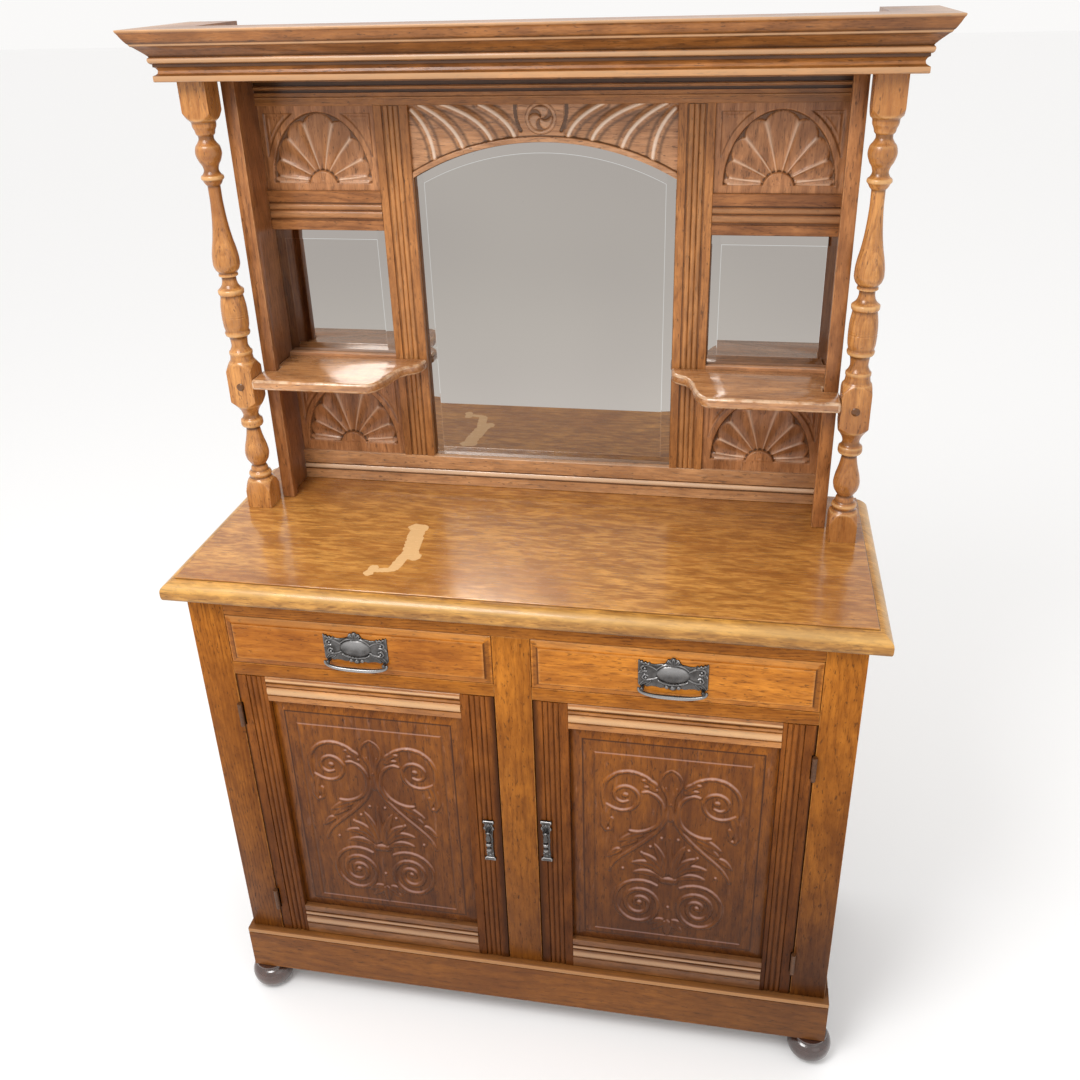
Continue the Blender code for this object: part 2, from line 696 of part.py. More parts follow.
def make_drawer(side, label):
    x = across(side, DRAWER_IN, DRAWER_OUT)
    z = (DRAWER_Z + DRAWER_GAP, DRAWER_TOP_Z - DRAWER_GAP)
    back = FRONT + DRAWER_FRONT
    levels = (
        (0, 0),
        (0, DRAWER_FRONT),
        (DRAWER_MARGIN - DRAWER_SHOULDER, DRAWER_FRONT + DRAWER_SLOPE_OUT),
        (DRAWER_MARGIN, DRAWER_FRONT + DRAWER_FIELD_OUT),
    )
    front = fielded(f"{label}_drawer_front", x, z, back, levels, light_oak)

    box_x = (x[0] + DRAWER_SIDE_CLEAR, x[1] - DRAWER_SIDE_CLEAR)
    box_y = (back + SEAT, back + DRAWER_BOX_DEPTH)
    box_z = DRAWER_Z + SEAT
    wall = DRAWER_WALL
    outline = [
        (box_x[0], box_y[0]), (box_x[0] + wall, box_y[0]),
        (box_x[0] + wall, box_y[1] - wall), (box_x[1] - wall, box_y[1] - wall),
        (box_x[1] - wall, box_y[0]), (box_x[1], box_y[0]),
        (box_x[1], box_y[1]), (box_x[0], box_y[1]),
    ]
    box = plate(f"{label}_drawer_box", [outline], DRAWER_SIDE_HEIGHT, plain_oak,
                z=box_z + DRAWER_SIDE_HEIGHT / 2)
    bottom_z = box_z + DRAWER_BOTTOM_RISE
    bottom = block(f"{label}_drawer_bottom", (box_x[0] + wall + SEAT, box_x[1] - wall - SEAT),
                   (box_y[0], box_y[1] - wall - SEAT), (bottom_z, bottom_z + DRAWER_BOTTOM), plain_oak)

    slide = joint_axis(f"{label}_drawer_slide", (side * DRAWER_MIDDLE, FRONT, middle(z)))
    handle = make_handle(side, label, middle(z) + HANDLE_RISE)
    ride_on([front, box, bottom] + handle, slide)


def make_handle(side, label, z):
    """The shaped plate with its boss and ears, and the bail that hangs in the ears."""
    x = side * DRAWER_MIDDLE
    face = FRONT - DRAWER_FIELD_OUT
    y = (face - SEAT - HANDLE_PLATE, face - SEAT)
    outline = mirrored_outline(HANDLE_SHARES, x, z, HANDLE_HALF_WIDTH, HANDLE_HALF_HEIGHT)
    backplate = plate(f"{label}_handle_plate", [outline], HANDLE_PLATE, pewter, standing=middle(y))
    boss = bead("boss", (x, y[0], z), (BOSS_HALF_WIDTH, BOSS_OUT, BOSS_HALF_HEIGHT), pewter, 16, 8)
    # The boss is cut flat inside the plate, so that its back doesn't reach the drawer.
    behind = block("behind", (x - HANDLE_HALF_WIDTH, x + HANDLE_HALF_WIDTH),
                   (middle(y), y[1] + BOSS_OUT + OVERRUN),
                   (z - HANDLE_HALF_HEIGHT, z + HANDLE_HALF_HEIGHT), pewter)
    combine(boss, behind, "DIFFERENCE")
    combine(backplate, boss, "UNION")
    pivot_y = y[0] - EAR_OUT + EAR_HALF_HEIGHT
    pivot_z = z - EAR_DROP
    ear_far = HANDLE_HALF_WIDTH - EAR_INSET
    for end in (-1, 1):
        ear_x = tuple(sorted((x + end * (ear_far - EAR_WIDTH), x + end * ear_far)))
        # The ear has a round front, so that the bail can swing past it, on a slightly slimmer tongue.
        tongue = EAR_HALF_HEIGHT - SEAT
        ear = block("ear", (ear_x[0] + SEAT, ear_x[1] - SEAT), (pivot_y, middle(y)),
                    (pivot_z - tongue, pivot_z + tongue), pewter)
        ear_front = rod("ear_front", (ear_x[0], pivot_y, pivot_z), (ear_x[1], pivot_y, pivot_z),
                        EAR_HALF_HEIGHT, pewter)
        combine(backplate, ear, "UNION")
        combine(backplate, ear_front, "UNION")
        hole = rod("hole", (ear_x[0] - EAR_WIDTH, pivot_y, pivot_z), (ear_x[1] + EAR_WIDTH, pivot_y, pivot_z),
                   BAIL_HOLE, pewter)
        combine(backplate, hole, "DIFFERENCE")

    # The bail: a pin turned in through each ear, and a shallow sweep between them.
    reach = ear_far + BAIL_REACH
    pin_end = reach - PIN_OUT
    angles = [math.pi * i / BAIL_STEPS for i in range(BAIL_STEPS + 1)]
    sweep = [(math.cos(angle), math.sin(angle)) for angle in angles]
    points = [(x + pin_end, pivot_y, pivot_z)]
    points += [(x + reach * math.copysign(abs(a) ** BAIL_BOW_SHARE, a), pivot_y, pivot_z - BAIL_DROP * b)
               for a, b in sweep]
    points += [(x - pin_end, pivot_y, pivot_z)]
    swell = [1] + [1 + (BAIL_SWELL_SHARE - 1) * b * b for a, b in sweep] + [1]
    bail = wire(f"{label}_bail", points, BAIL_WIRE, pewter, swell)
    pivot = joint_axis(f"{label}_bail_pivot", (x, pivot_y, pivot_z))
    ride_on([bail], pivot)
    return [backplate, pivot]


def door_rail_grooves(door, x, levels):
    """Cuts a row of level grooves into the front of a door's rail."""
    for level in levels:
        cutter = block("groove", x, (FRONT - OVERRUN, FRONT + DOOR_GROOVE_DEPTH),
                       (level - DOOR_GROOVE / 2, level + DOOR_GROOVE / 2), oak)
        combine(door, cutter, "DIFFERENCE")


def make_door(side, label):
    x = across(side, DOOR_IN, DOOR_OUT)
    panel_x = across(side, PANEL_IN, PANEL_OUT)
    frame_y = (FRONT, FRONT + DOOR_THICKNESS)
    outlines = [rectangle(x, (DOOR_Z, DOOR_HEAD_Z)), rectangle(panel_x, (PANEL_Z, PANEL_TOP_Z))]
    frame = plate(f"{label}_door_frame", outlines, DOOR_THICKNESS, oak, standing=middle(frame_y))
    top_grooves = [PANEL_TOP_Z + DOOR_TOP_RAIL * share for share in DOOR_TOP_GROOVE_SHARES]
    bottom_grooves = [DOOR_Z + DOOR_BOTTOM_RAIL * share for share in DOOR_BOTTOM_GROOVE_SHARES]
    door_rail_grooves(frame, panel_x, top_grooves + bottom_grooves)

    back = FRONT + PANEL_SETBACK + PANEL_THICKNESS
    inset_x = (panel_x[0] + SEAT, panel_x[1] - SEAT)
    inset_z = (PANEL_Z + SEAT, PANEL_TOP_Z - SEAT)
    levels = ((0, 0), (0, PANEL_THICKNESS - PANEL_RAISE), (PANEL_BEVEL, PANEL_THICKNESS))
    panel = fielded(f"{label}_door_panel", inset_x, inset_z, back, levels, panel_oak)
    carve_panel(panel, middle(panel_x), FRONT + PANEL_SETBACK)

    axis = joint_axis(f"{label}_door_hinge", (side * HINGE_X, HINGE_Y, middle((DOOR_Z, DOOR_HEAD_Z))))
    pull = make_pull(side, label)
    ride_on([frame, panel] + pull, axis)


def carve_panel(panel, x, face):
    """The carving's main forms: two upper volutes, two lower spirals, S-scrolls and a palmette."""
    foot = PANEL_Z + CARVING_FOOT
    middle_y = face + CARVING_RELIEF / 2

    def at(shares, end):
        return x + end * shares[0] * CARVING_HALF_WIDTH, foot + shares[1] * CARVING_HEIGHT

    for end in (-1, 1):
        for eye, radius in CARVING_EYES:
            eye_x, eye_z = at(eye, end)
            size = radius * CARVING_HALF_WIDTH
            knob = bead("eye", (eye_x, middle_y, eye_z), (size, 2 * CARVING_RELIEF, size), panel_oak, 14, 6)
            combine(panel, knob, "UNION")
        points = [(at(shares, end)[0], middle_y, at(shares, end)[1]) for shares in SCROLL_SHARES]
        combine(panel, wire("scroll", points, CARVING_RELIEF, panel_oak), "UNION")
    palm_x, palm_z = at(PALMETTE_SHARE, 1)
    for turn_share in PALMETTE_TURN_SHARES:
        turn = turn_share * math.pi / 2
        length = PALMETTE_LEAF * (1 - PALMETTE_SPREAD_SHARE * abs(turn_share))
        leaf = bead("leaf", (palm_x + math.sin(turn) * length, middle_y, palm_z + math.cos(turn) * length),
                    (length * PALMETTE_WIDTH_SHARE, 2 * CARVING_RELIEF, length), panel_oak, 8, 6, turn)
        combine(panel, leaf, "UNION")


def make_pull(side, label):
    rise, inset = (LEFT_PULL_RISE, LEFT_PULL_INSET) if side < 0 else (RIGHT_PULL_RISE, RIGHT_PULL_INSET)
    x, z = side * (DOOR_IN + inset), DOOR_Z + rise
    y = (FRONT - SEAT - PULL_PLATE, FRONT - SEAT)
    outline = mirrored_outline(PULL_SHARES, x, z, PULL_HALF_WIDTH, PULL_HALF_HEIGHT)
    backplate = plate(f"{label}_pull_plate", [outline], PULL_PLATE, pewter, standing=middle(y))
    pivot_y, pivot_z = y[0] - DROP_OUT + CHEEK_HALF_HEIGHT, z + DROP_RISE
    wide = CHEEK_GAP / 2 + CHEEK_WIDTH
    for end in (-1, 1):
        cheek_x = tuple(sorted((x + end * CHEEK_GAP / 2, x + end * wide)))
        cheek = block("cheek", cheek_x, (y[0] - DROP_OUT, middle(y)),
                      (pivot_z - CHEEK_HALF_HEIGHT, pivot_z + CHEEK_HALF_HEIGHT), pewter)
        combine(backplate, cheek, "UNION")
    hole = rod("hole", (x - wide - OVERRUN, pivot_y, pivot_z), (x + wide + OVERRUN, pivot_y, pivot_z),
               DROP_PIN_HOLE, pewter)
    combine(backplate, hole, "DIFFERENCE")

    profile = [(radius * DROP_RADIUS, DROP_RADIUS * DROP_NECK_SHARE - share * DROP_LENGTH)
               for share, radius in DROP_SHARES]
    drop = turned(f"{label}_pull_drop", profile, (x, pivot_y, pivot_z), pewter)
    pin_ends = ((x - wide + DROP_PIN, pivot_y, pivot_z), (x + wide - DROP_PIN, pivot_y, pivot_z))
    combine(drop, rod("pin", *pin_ends, DROP_PIN, pewter, FINE_STEPS), "UNION")
    pivot = joint_axis(f"{label}_drop_pivot", (x, pivot_y, pivot_z))
    ride_on([drop], pivot)
    return [backplate, pivot]


def make_hinge(side, label, name, z):
    x, y = side * HINGE_X, HINGE_Y
    knuckle = rod(f"{label}_{name}_hinge", (x, y, z - HINGE_LENGTH / 2), (x, y, z + HINGE_LENGTH / 2),
                  KNUCKLE_RADIUS, pewter)
    leaf = block("leaf", (x - LEAF_THICKNESS / 2, x + LEAF_THICKNESS / 2), (y, FRONT + LEAF_REACH),
                 (z - HINGE_LENGTH / 2, z + HINGE_LENGTH / 2), pewter)
    combine(knuckle, leaf, "UNION")


def make_uprights():
    """Each upright is a board with a wider front edge, so its section is an L."""
    outer = BACK_HALF_WIDTH + UPRIGHT_THICKNESS
    front = BACK - UPRIGHT_DEPTH
    section = [(outer, front), (outer, BACK), (BACK_HALF_WIDTH, BACK),
               (BACK_HALF_WIDTH, front + UPRIGHT_EDGE_DEPTH),
               (outer - UPRIGHT_EDGE, front + UPRIGHT_EDGE_DEPTH), (outer - UPRIGHT_EDGE, front)]
    height = CORNICE_Z - TOP_Z - 2 * SEAT
    for side, label in SIDES:
        plate(f"{label}_upright", [[(side * x, y) for x, y in section]], height, dark_oak,
              z=middle((TOP_Z, CORNICE_Z)))


def column_profile():
    """Radius and height from the column's top down, in its own frame."""
    half = COLUMN_BLOCK / 2
    lower = [(radius * half, BASE_BLOCK + share * LOWER_TURNING) for share, radius in LOWER_TURNING_SHARES]
    upper_foot = BASE_BLOCK + LOWER_TURNING + MIDDLE_BLOCK
    upper = [(radius * half, upper_foot + share * UPPER_TURNING) for share, radius in UPPER_TURNING_SHARES]
    height = CORNICE_Z - TOP_Z - SEAT
    corner = CORNER_SHARE * half
    return [(0, height), (corner, height)] + upper[::-1] + lower[::-1] + [(corner, SEAT), (0, SEAT)]


def make_columns():
    """Each column is one square length, turned round between its three blocks."""
    half = COLUMN_BLOCK / 2
    for side, label in SIDES:
        x, y = side * COLUMN_X, FRONT + COLUMN_Y
        column = turned(f"{label}_column", column_profile(), (x, y, TOP_Z), light_oak)
        square = block("square", (x - half, x + half), (y - half, y + half),
                       (TOP_Z - OVERRUN, CORNICE_Z + OVERRUN), light_oak)
        combine(column, square, "INTERSECT")


def make_shelves():
    block_inner = COLUMN_X - COLUMN_BLOCK / 2 - SEAT
    edge_inner = BACK_HALF_WIDTH + UPRIGHT_THICKNESS - UPRIGHT_EDGE - SEAT
    edge_front = BACK - UPRIGHT_DEPTH - SEAT
    edge_back = BACK - UPRIGHT_DEPTH + UPRIGHT_EDGE_DEPTH + SEAT
    board_inner = BACK_HALF_WIDTH - SEAT
    front, back = FRONT + SHELF_FRONT, FRAME_FRONT - SEAT
    nose = SHELF_NOSE_Y - SHELF_FRONT
    sweep = SHELF_NOTCH_X - MUNTIN_INNER
    curve = [(SHELF_NOTCH_X - a * sweep, front + b * nose) for a, b in SHELF_CURVE_SHARES]
    right = [(MUNTIN_INNER, back)] + curve[::-1]
    right += [(block_inner, front), (block_inner, edge_front), (edge_inner, edge_front),
              (edge_inner, edge_back), (board_inner, edge_back), (board_inner, back)]
    for side, label in SIDES:
        outline = [(side * x, y) for x, y in right]
        plate(f"{label}_shelf", [outline], SHELF_THICKNESS, oak, z=SHELF_Z + SHELF_THICKNESS / 2)


def make_back_frame():
    wide = BACK_HALF_WIDTH - SEAT
    y = (FRAME_FRONT, BACK - UPPER_BACK_BOARD)
    through = (y[0] - OVERRUN, y[1] + OVERRUN)
    frame = block("back_frame", (-wide, wide), y, (TOP_Z + SEAT, CORNICE_Z - SEAT), oak)
    opening = block("opening", (-MUNTIN_INNER, MUNTIN_INNER), through, (LOWER_SHELL_Z, HEAD_Z), oak)
    combine(frame, opening, "DIFFERENCE")
    # Three notches each side, open towards the upright, hold a shell, a glass and a shell.
    for side, _ in SIDES:
        for z in ((LOWER_SHELL_Z, SHELF_Z), (MIRROR_Z, REEDED_Z), (UPPER_SHELL_Z, HEAD_Z)):
            notch = block("notch", across(side, MUNTIN_OUTER, BACK_HALF_WIDTH + OVERRUN), through, z, oak)
            combine(frame, notch, "DIFFERENCE")
    groove_y = (FRAME_FRONT - OVERRUN, FRAME_FRONT + RAIL_GROOVE_DEPTH)
    for side, _ in SIDES:
        for count in RAIL_GROOVE_PLACES:
            # Level grooves on the reeded rail, and upright ones on the muntin.
            z = middle((REEDED_Z, UPPER_SHELL_Z)) + count * RAIL_GROOVE_PITCH
            level = block("groove", across(side, MUNTIN_OUTER, BACK_HALF_WIDTH), groove_y,
                          (z - RAIL_GROOVE / 2, z + RAIL_GROOVE / 2), oak)
            combine(frame, level, "DIFFERENCE")
            x = side * middle((MUNTIN_INNER, MUNTIN_OUTER)) + count * RAIL_GROOVE_PITCH
            upright = block("groove", (x - RAIL_GROOVE / 2, x + RAIL_GROOVE / 2), groove_y,
                            (LOWER_SHELL_Z + RAIL_GROOVE, HEAD_Z - RAIL_GROOVE), oak)
            combine(frame, upright, "DIFFERENCE")
    inner = BACK_HALF_WIDTH - SEAT
    block("upper_back", (-inner, inner), (BACK - UPPER_BACK_BOARD + SEAT, BACK),
          (TOP_Z + SEAT, CORNICE_Z - SEAT), dark_oak)


def arch(half_width, spring, rise):
    """Points of a flat arch from its right springing over to the left one."""
    radius = (half_width * half_width + rise * rise) / (2 * rise)
    reach = math.asin(half_width / radius)
    angles = [reach - 2 * reach * i / ARCH_STEPS for i in range(ARCH_STEPS + 1)]
    return [(radius * math.sin(a), spring + rise - radius + radius * math.cos(a)) for a in angles]


def make_centre_mirror():
    """The middle glass, arched at the top, and the carved head that fills the space above it."""
    spring = LOWER_SHELL_Z + ARCH_SPRING
    half = MUNTIN_INNER - SEAT
    top = arch(half, spring - SEAT, ARCH_RISE)
    outline = [(-half, LOWER_SHELL_Z + SEAT), (half, LOWER_SHELL_Z + SEAT)] + top
    face = FRAME_FRONT + MIRROR_SETBACK
    plate("centre_mirror", [outline], MIRROR_THICKNESS, mirror_glass, standing=face + MIRROR_THICKNESS / 2)

    under = arch(half, spring + SEAT, ARCH_RISE)
    outline = under + [(-half, HEAD_Z - SEAT), (half, HEAD_Z - SEAT)]
    face = FRAME_FRONT + HEAD_SETBACK
    head = plate("head_panel", [outline], HEAD_THICKNESS, carved_oak, standing=face + HEAD_THICKNESS / 2)
    roundel_z = HEAD_Z - ROUNDEL_DROP
    roundel = rod("roundel", (0, face - ROUNDEL_OUT, roundel_z), (0, face + ROUNDEL_OUT, roundel_z),
                  ROUNDEL_RADIUS * ROUNDEL_SHOWN_SHARE, carved_oak, ROUNDEL_STEPS)
    combine(head, roundel, "UNION")
    # Leaning flutes that lengthen away from the middle, where the arch falls.
    pitch = (half - ROUNDEL_RADIUS) / (HEAD_FLUTES + 1)
    for side, _ in SIDES:
        for count in range(1, HEAD_FLUTES + 1):
            x = ROUNDEL_RADIUS + pitch * (count + FLUTE_START_SHARE)
            arch_z = spring + ARCH_RISE * (1 - (x / half) ** 2)
            height = HEAD_Z - arch_z - 2 * SEAT
            flute = bead("flute", (side * x, face + FLUTE_SUNK, (HEAD_Z + arch_z) / 2),
                         (FLUTE_WIDTH / 2, FLUTE_RELIEF, height * FLUTE_LENGTH_SHARE),
                         carved_oak, 8, 6, side * FLUTE_LEAN_SHARE * math.pi / 2)
            combine(head, flute, "UNION")


def make_side_mirrors():
    levels = ((0, 0), (0, MIRROR_THICKNESS - MIRROR_BEVEL_DROP), (MIRROR_BEVEL, MIRROR_THICKNESS))
    for side, label in SIDES:
        x = across(side, MUNTIN_OUTER + SEAT, BACK_HALF_WIDTH - SEAT)
        fielded(f"{label}_mirror", x, (MIRROR_Z + SEAT, REEDED_Z - SEAT),
                FRAME_FRONT + MIRROR_SETBACK + MIRROR_THICKNESS, levels, mirror_glass)


def half_round(x, base, half_width, rise, steps):
    """A half round that stands on its base, from its right foot over to the left one."""
    angles = [math.pi * i / steps for i in range(steps + 1)]
    return [(x + half_width * math.cos(angle), base + rise * math.sin(angle)) for angle in angles]


def make_shell_panel(side, label, name, z, base_rise):
    """A panel with a sunk arch, in which the lobes of a shell fan out from a half-round hub."""
    x = across(side, MUNTIN_OUTER + SEAT, BACK_HALF_WIDTH - SEAT)
    face = FRAME_FRONT + SHELL_SETBACK
    panel = block(f"{label}_{name}_shell", x, (face, face + SHELL_THICKNESS), (z[0] + SEAT, z[1] - SEAT),
                  carved_oak)
    centre, base = middle(x), z[0] + base_rise
    sunk_outline = half_round(centre, base, SHELL_HALF_WIDTH, SHELL_RISE, SHELL_STEPS)
    sunk = plate("sunk", [sunk_outline], OVERRUN + SHELL_SUNK, carved_oak,
                 standing=face + (SHELL_SUNK - OVERRUN) / 2)
    combine(panel, sunk, "DIFFERENCE")
    floor = face + SHELL_SUNK
    for count in range(SHELL_LOBES):
        angle = math.pi * (count + LOBE_CENTRE_SHARE) / SHELL_LOBES
        tip = Vector((SHELL_HALF_WIDTH * math.cos(angle), SHELL_RISE * math.sin(angle)))
        start = SHELL_HUB * LOBE_START_SHARE
        length = tip.length - SHELL_LOBE_CLEAR - start
        along = tip.normalized() * (start + length / 2)
        lobe = bead("lobe", (centre + along.x, floor + SHELL_LOBE_SUNK, base + along.y),
                    (length * LOBE_WIDTH_SHARE, SHELL_LOBE_OUT, length / 2), carved_oak, 6, 5,
                    math.atan2(tip.x, tip.y))
        combine(panel, lobe, "UNION")
    hub_outline = half_round(centre, base - SHELL_HUB_FOOT, SHELL_HUB, SHELL_HUB + SHELL_HUB_FOOT, HUB_STEPS)
    hub_y = (face - SHELL_HUB_OUT, floor + SHELL_HUB_OUT)
    hub = plate("hub", [hub_outline], hub_y[1] - hub_y[0], carved_oak, standing=middle(hub_y))
    combine(panel, hub, "UNION")


def make_cornice():
    x = (-CORNICE_HALF_WIDTH, CORNICE_HALF_WIDTH)
    y = (FRONT + CORNICE_FRONT, BACK)
    levels = [(inset * CORNICE_PROJECTION, CORNICE_Z + share * CORNICE_HEIGHT)
              for share, inset in CORNICE_SHARES]
    cornice = stacked("cornice", x, y, levels, dark_oak)
    well_half = CORNICE_HALF_WIDTH - CORNICE_RING
    well = block("well", (-well_half, well_half), (y[0] + CORNICE_RING, BACK + OVERRUN),
                 (CORNICE_Z - OVERRUN, CORNICE_Z + CORNICE_HEIGHT + OVERRUN), dark_oak)
    combine(cornice, well, "DIFFERENCE")
    board = well_half - SEAT
    block("canopy_board", (-board, board), (y[0] + CORNICE_RING + SEAT, BACK),
          (CORNICE_Z, CORNICE_Z + CANOPY_BOARD), dark_oak)


for old in list(bpy.data.objects):
    bpy.data.objects.remove(old)

parts = new_collection("mirror_back_sideboard")
cutters = new_collection("cutters")
oak = new_material("oak", (0.42, 0.19, 0.06), 0.40)
light_oak = new_material("light_oak", (0.55, 0.27, 0.09), 0.38)
dark_oak = new_material("dark_oak", (0.26, 0.12, 0.05), 0.42)
panel_oak = new_material("panel_oak", (0.22, 0.09, 0.03), 0.36)
carved_oak = new_material("carved_oak", (0.36, 0.17, 0.07), 0.42)
plain_oak = new_material("plain_oak", (0.45, 0.30, 0.16), 0.60)
pewter = new_material("pewter", (0.20, 0.20, 0.20), 0.38, 0.9)
mirror_glass = new_material("mirror_glass", (0.85, 0.87, 0.88), 0.04, 1.0)

make_feet()
make_plinth()
make_front_frame()
make_inner_boards()
make_top_board()
make_uprights()
make_columns()
make_shelves()
make_back_frame()
make_centre_mirror()
make_side_mirrors()
make_cornice()
for side, label in SIDES:
    make_case_side(side, label)
    make_drawer(side, label)
    make_door(side, label)
    make_hinge(side, label, "upper", DOOR_HEAD_Z - HINGE_INSET - HINGE_LENGTH / 2)
    make_hinge(side, label, "lower", DOOR_Z + HINGE_INSET + HINGE_LENGTH / 2)
    make_shell_panel(side, label, "lower", (LOWER_SHELL_Z, SHELF_Z), SHELL_BASE_LOWER)
    make_shell_panel(side, label, "upper", (UPPER_SHELL_Z, HEAD_Z), SHELL_BASE_UPPER)
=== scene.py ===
import json
import math

import bmesh
import bpy
import numpy as np
from mathutils import Matrix, Vector


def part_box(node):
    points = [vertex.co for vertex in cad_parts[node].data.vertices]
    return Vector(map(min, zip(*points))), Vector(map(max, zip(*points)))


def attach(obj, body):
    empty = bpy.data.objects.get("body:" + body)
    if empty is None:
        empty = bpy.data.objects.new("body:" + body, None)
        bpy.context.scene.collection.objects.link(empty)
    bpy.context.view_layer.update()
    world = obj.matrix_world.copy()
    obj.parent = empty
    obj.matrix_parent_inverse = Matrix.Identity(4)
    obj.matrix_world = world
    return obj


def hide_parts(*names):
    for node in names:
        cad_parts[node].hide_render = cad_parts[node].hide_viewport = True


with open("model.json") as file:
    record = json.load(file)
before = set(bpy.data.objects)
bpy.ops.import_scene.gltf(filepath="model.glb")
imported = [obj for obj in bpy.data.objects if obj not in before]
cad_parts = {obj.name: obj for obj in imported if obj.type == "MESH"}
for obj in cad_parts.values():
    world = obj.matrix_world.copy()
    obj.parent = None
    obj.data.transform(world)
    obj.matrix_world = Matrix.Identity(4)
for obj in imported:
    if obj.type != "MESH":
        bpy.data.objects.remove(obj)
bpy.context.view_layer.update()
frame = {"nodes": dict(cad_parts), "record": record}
nodes = frame["nodes"]
bodyOf = {node: body for body, members in frame["record"]["behaviour"]["bodies"].items() for node in members}
slotOf = {row["node"]: row["material_slot"] for row in frame["record"]["subparts"]}
sides = ((-1, "left"), (1, "right"))
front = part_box("left_stile")[0].y  # the plane of the stiles and rails
print("frame loaded:", len(nodes), "nodes")


# Camera, floor and lights

view = {
    "place": (0.3464, -1.6528, 1.9471),
    "pitch": -0.4627,
    "yaw": 0.1901,
    "roll": -0.0302,
    "lens": 35.42,
    "sensor": 36.0,
    "shift": (-0.00534, -0.0439),
}
studio = {
    "floorSize": 60.0,
    "floorColour": (0.96, 0.96, 0.96),
    "skyColour": (1.0, 0.99, 0.98),
    "skyStrength": 0.96,
    "keyPlace": (-0.8, -1.5, 3.0),
    "keySize": 1.2,
    "keyPower": 46.0,
    "fillPlace": (2.3, -2.6, 2.1),
    "fillSize": 2.4,
    "fillPower": 6.0,
    "aim": (0.0, 0.0, 0.9),
}


def makeCamera():
    pitch, yaw, roll = view["pitch"], view["yaw"], view["roll"]
    ahead = Vector((-math.sin(yaw) * math.cos(pitch), math.cos(yaw) * math.cos(pitch), math.sin(pitch)))
    level = Vector((math.cos(yaw), math.sin(yaw), 0))
    above = level.cross(ahead)
    right = math.cos(roll) * level + math.sin(roll) * above
    up = math.cos(roll) * above - math.sin(roll) * level
    data = bpy.data.cameras.new("camera")
    data.sensor_fit = "HORIZONTAL"
    data.sensor_width = view["sensor"]
    data.lens = view["lens"]
    data.shift_x, data.shift_y = view["shift"]
    data.clip_start = 0.05
    camera = bpy.data.objects.new("camera", data)
    turn = Matrix((right, up, -ahead)).transposed().to_4x4()
    camera.matrix_world = Matrix.Translation(view["place"]) @ turn
    bpy.context.scene.collection.objects.link(camera)
    bpy.context.scene.camera = camera


def softLight(name, place, size, power):
    data = bpy.data.lights.new(name, "AREA")
    data.shape = "DISK"
    data.size = size
    data.energy = power
    lamp = bpy.data.objects.new(name, data)
    lamp.location = place
    lamp.rotation_mode = "QUATERNION"
    lamp.rotation_quaternion = (Vector(studio["aim"]) - Vector(place)).to_track_quat("-Z", "Y")
    bpy.context.scene.collection.objects.link(lamp)


def makeStudio():
    bm = bmesh.new()
    bmesh.ops.create_grid(bm, x_segments=2, y_segments=2, size=studio["floorSize"] / 2)
    data = bpy.data.meshes.new("floor")
    bm.to_mesh(data)
    bm.free()
    floor = bpy.data.objects.new("floor", data)
    bpy.context.scene.collection.objects.link(floor)
    paint = bpy.data.materials.new("paleFloor")
    paint.use_nodes = True
    shader = paint.node_tree.nodes["Principled BSDF"]
    shader.inputs["Base Color"].default_value = (*studio["floorColour"], 1)
    shader.inputs["Roughness"].default_value = 0.9
    data.materials.append(paint)
    world = bpy.data.worlds.new("softSky")
    world.use_nodes = True
    sky = world.node_tree.nodes["Background"]
    sky.inputs["Color"].default_value = (*studio["skyColour"], 1)
    sky.inputs["Strength"].default_value = studio["skyStrength"]
    bpy.context.scene.world = world
    softLight("keyLight", studio["keyPlace"], studio["keySize"], studio["keyPower"])
    softLight("fillLight", studio["fillPlace"], studio["fillSize"], studio["fillPower"])
    bpy.context.scene.view_settings.view_transform = "Standard"


makeCamera()
makeStudio()
print("camera and studio ready")


# Finishes

def add(tree, kind, values=None, **settings):
    node = tree.nodes.new(kind)
    for key, value in settings.items():
        setattr(node, key, value)
    for key, value in (values or {}).items():
        if isinstance(value, bpy.types.NodeSocket):
            tree.links.new(value, node.inputs[key])
        else:
            node.inputs[key].default_value = value
    return node


def sums(tree, operation, a, b=0.0):
    return add(tree, "ShaderNodeMath", {0: a, 1: b}, operation=operation).outputs[0]


def times(tree, a, b):
    return sums(tree, "MULTIPLY", a, b)


def plus(tree, a, b):
    return sums(tree, "ADD", a, b)


def minus(tree, a, b):
    return sums(tree, "SUBTRACT", a, b)


def vectorSum(tree, operation, a, b=None, scale=None):
    given = {key: value for key, value in ((0, a), (1, b), ("Scale", scale)) if value is not None}
    node = add(tree, "ShaderNodeVectorMath", given, operation=operation)
    return node.outputs["Value" if operation in ("LENGTH", "DISTANCE", "DOT_PRODUCT") else "Vector"]


def between(tree, value, low, high):
    mapped = add(tree, "ShaderNodeMapRange", {"Value": value, "From Min": low, "From Max": high},
                 interpolation_type="SMOOTHSTEP")
    return mapped.outputs["Result"]


def blended(tree, share, a, b, mode="MIX"):
    node = add(tree, "ShaderNodeMix", None, data_type="RGBA", blend_type=mode)
    for socket, value in ((node.inputs[0], share), (node.inputs[6], a), (node.inputs[7], b)):
        if isinstance(value, bpy.types.NodeSocket):
            tree.links.new(value, socket)
        else:
            socket.default_value = (*value, 1) if isinstance(value, tuple) else value
    return node.outputs[2]


def tinted(tree, colour, tint):
    return blended(tree, 1.0, colour, tint, "MULTIPLY")


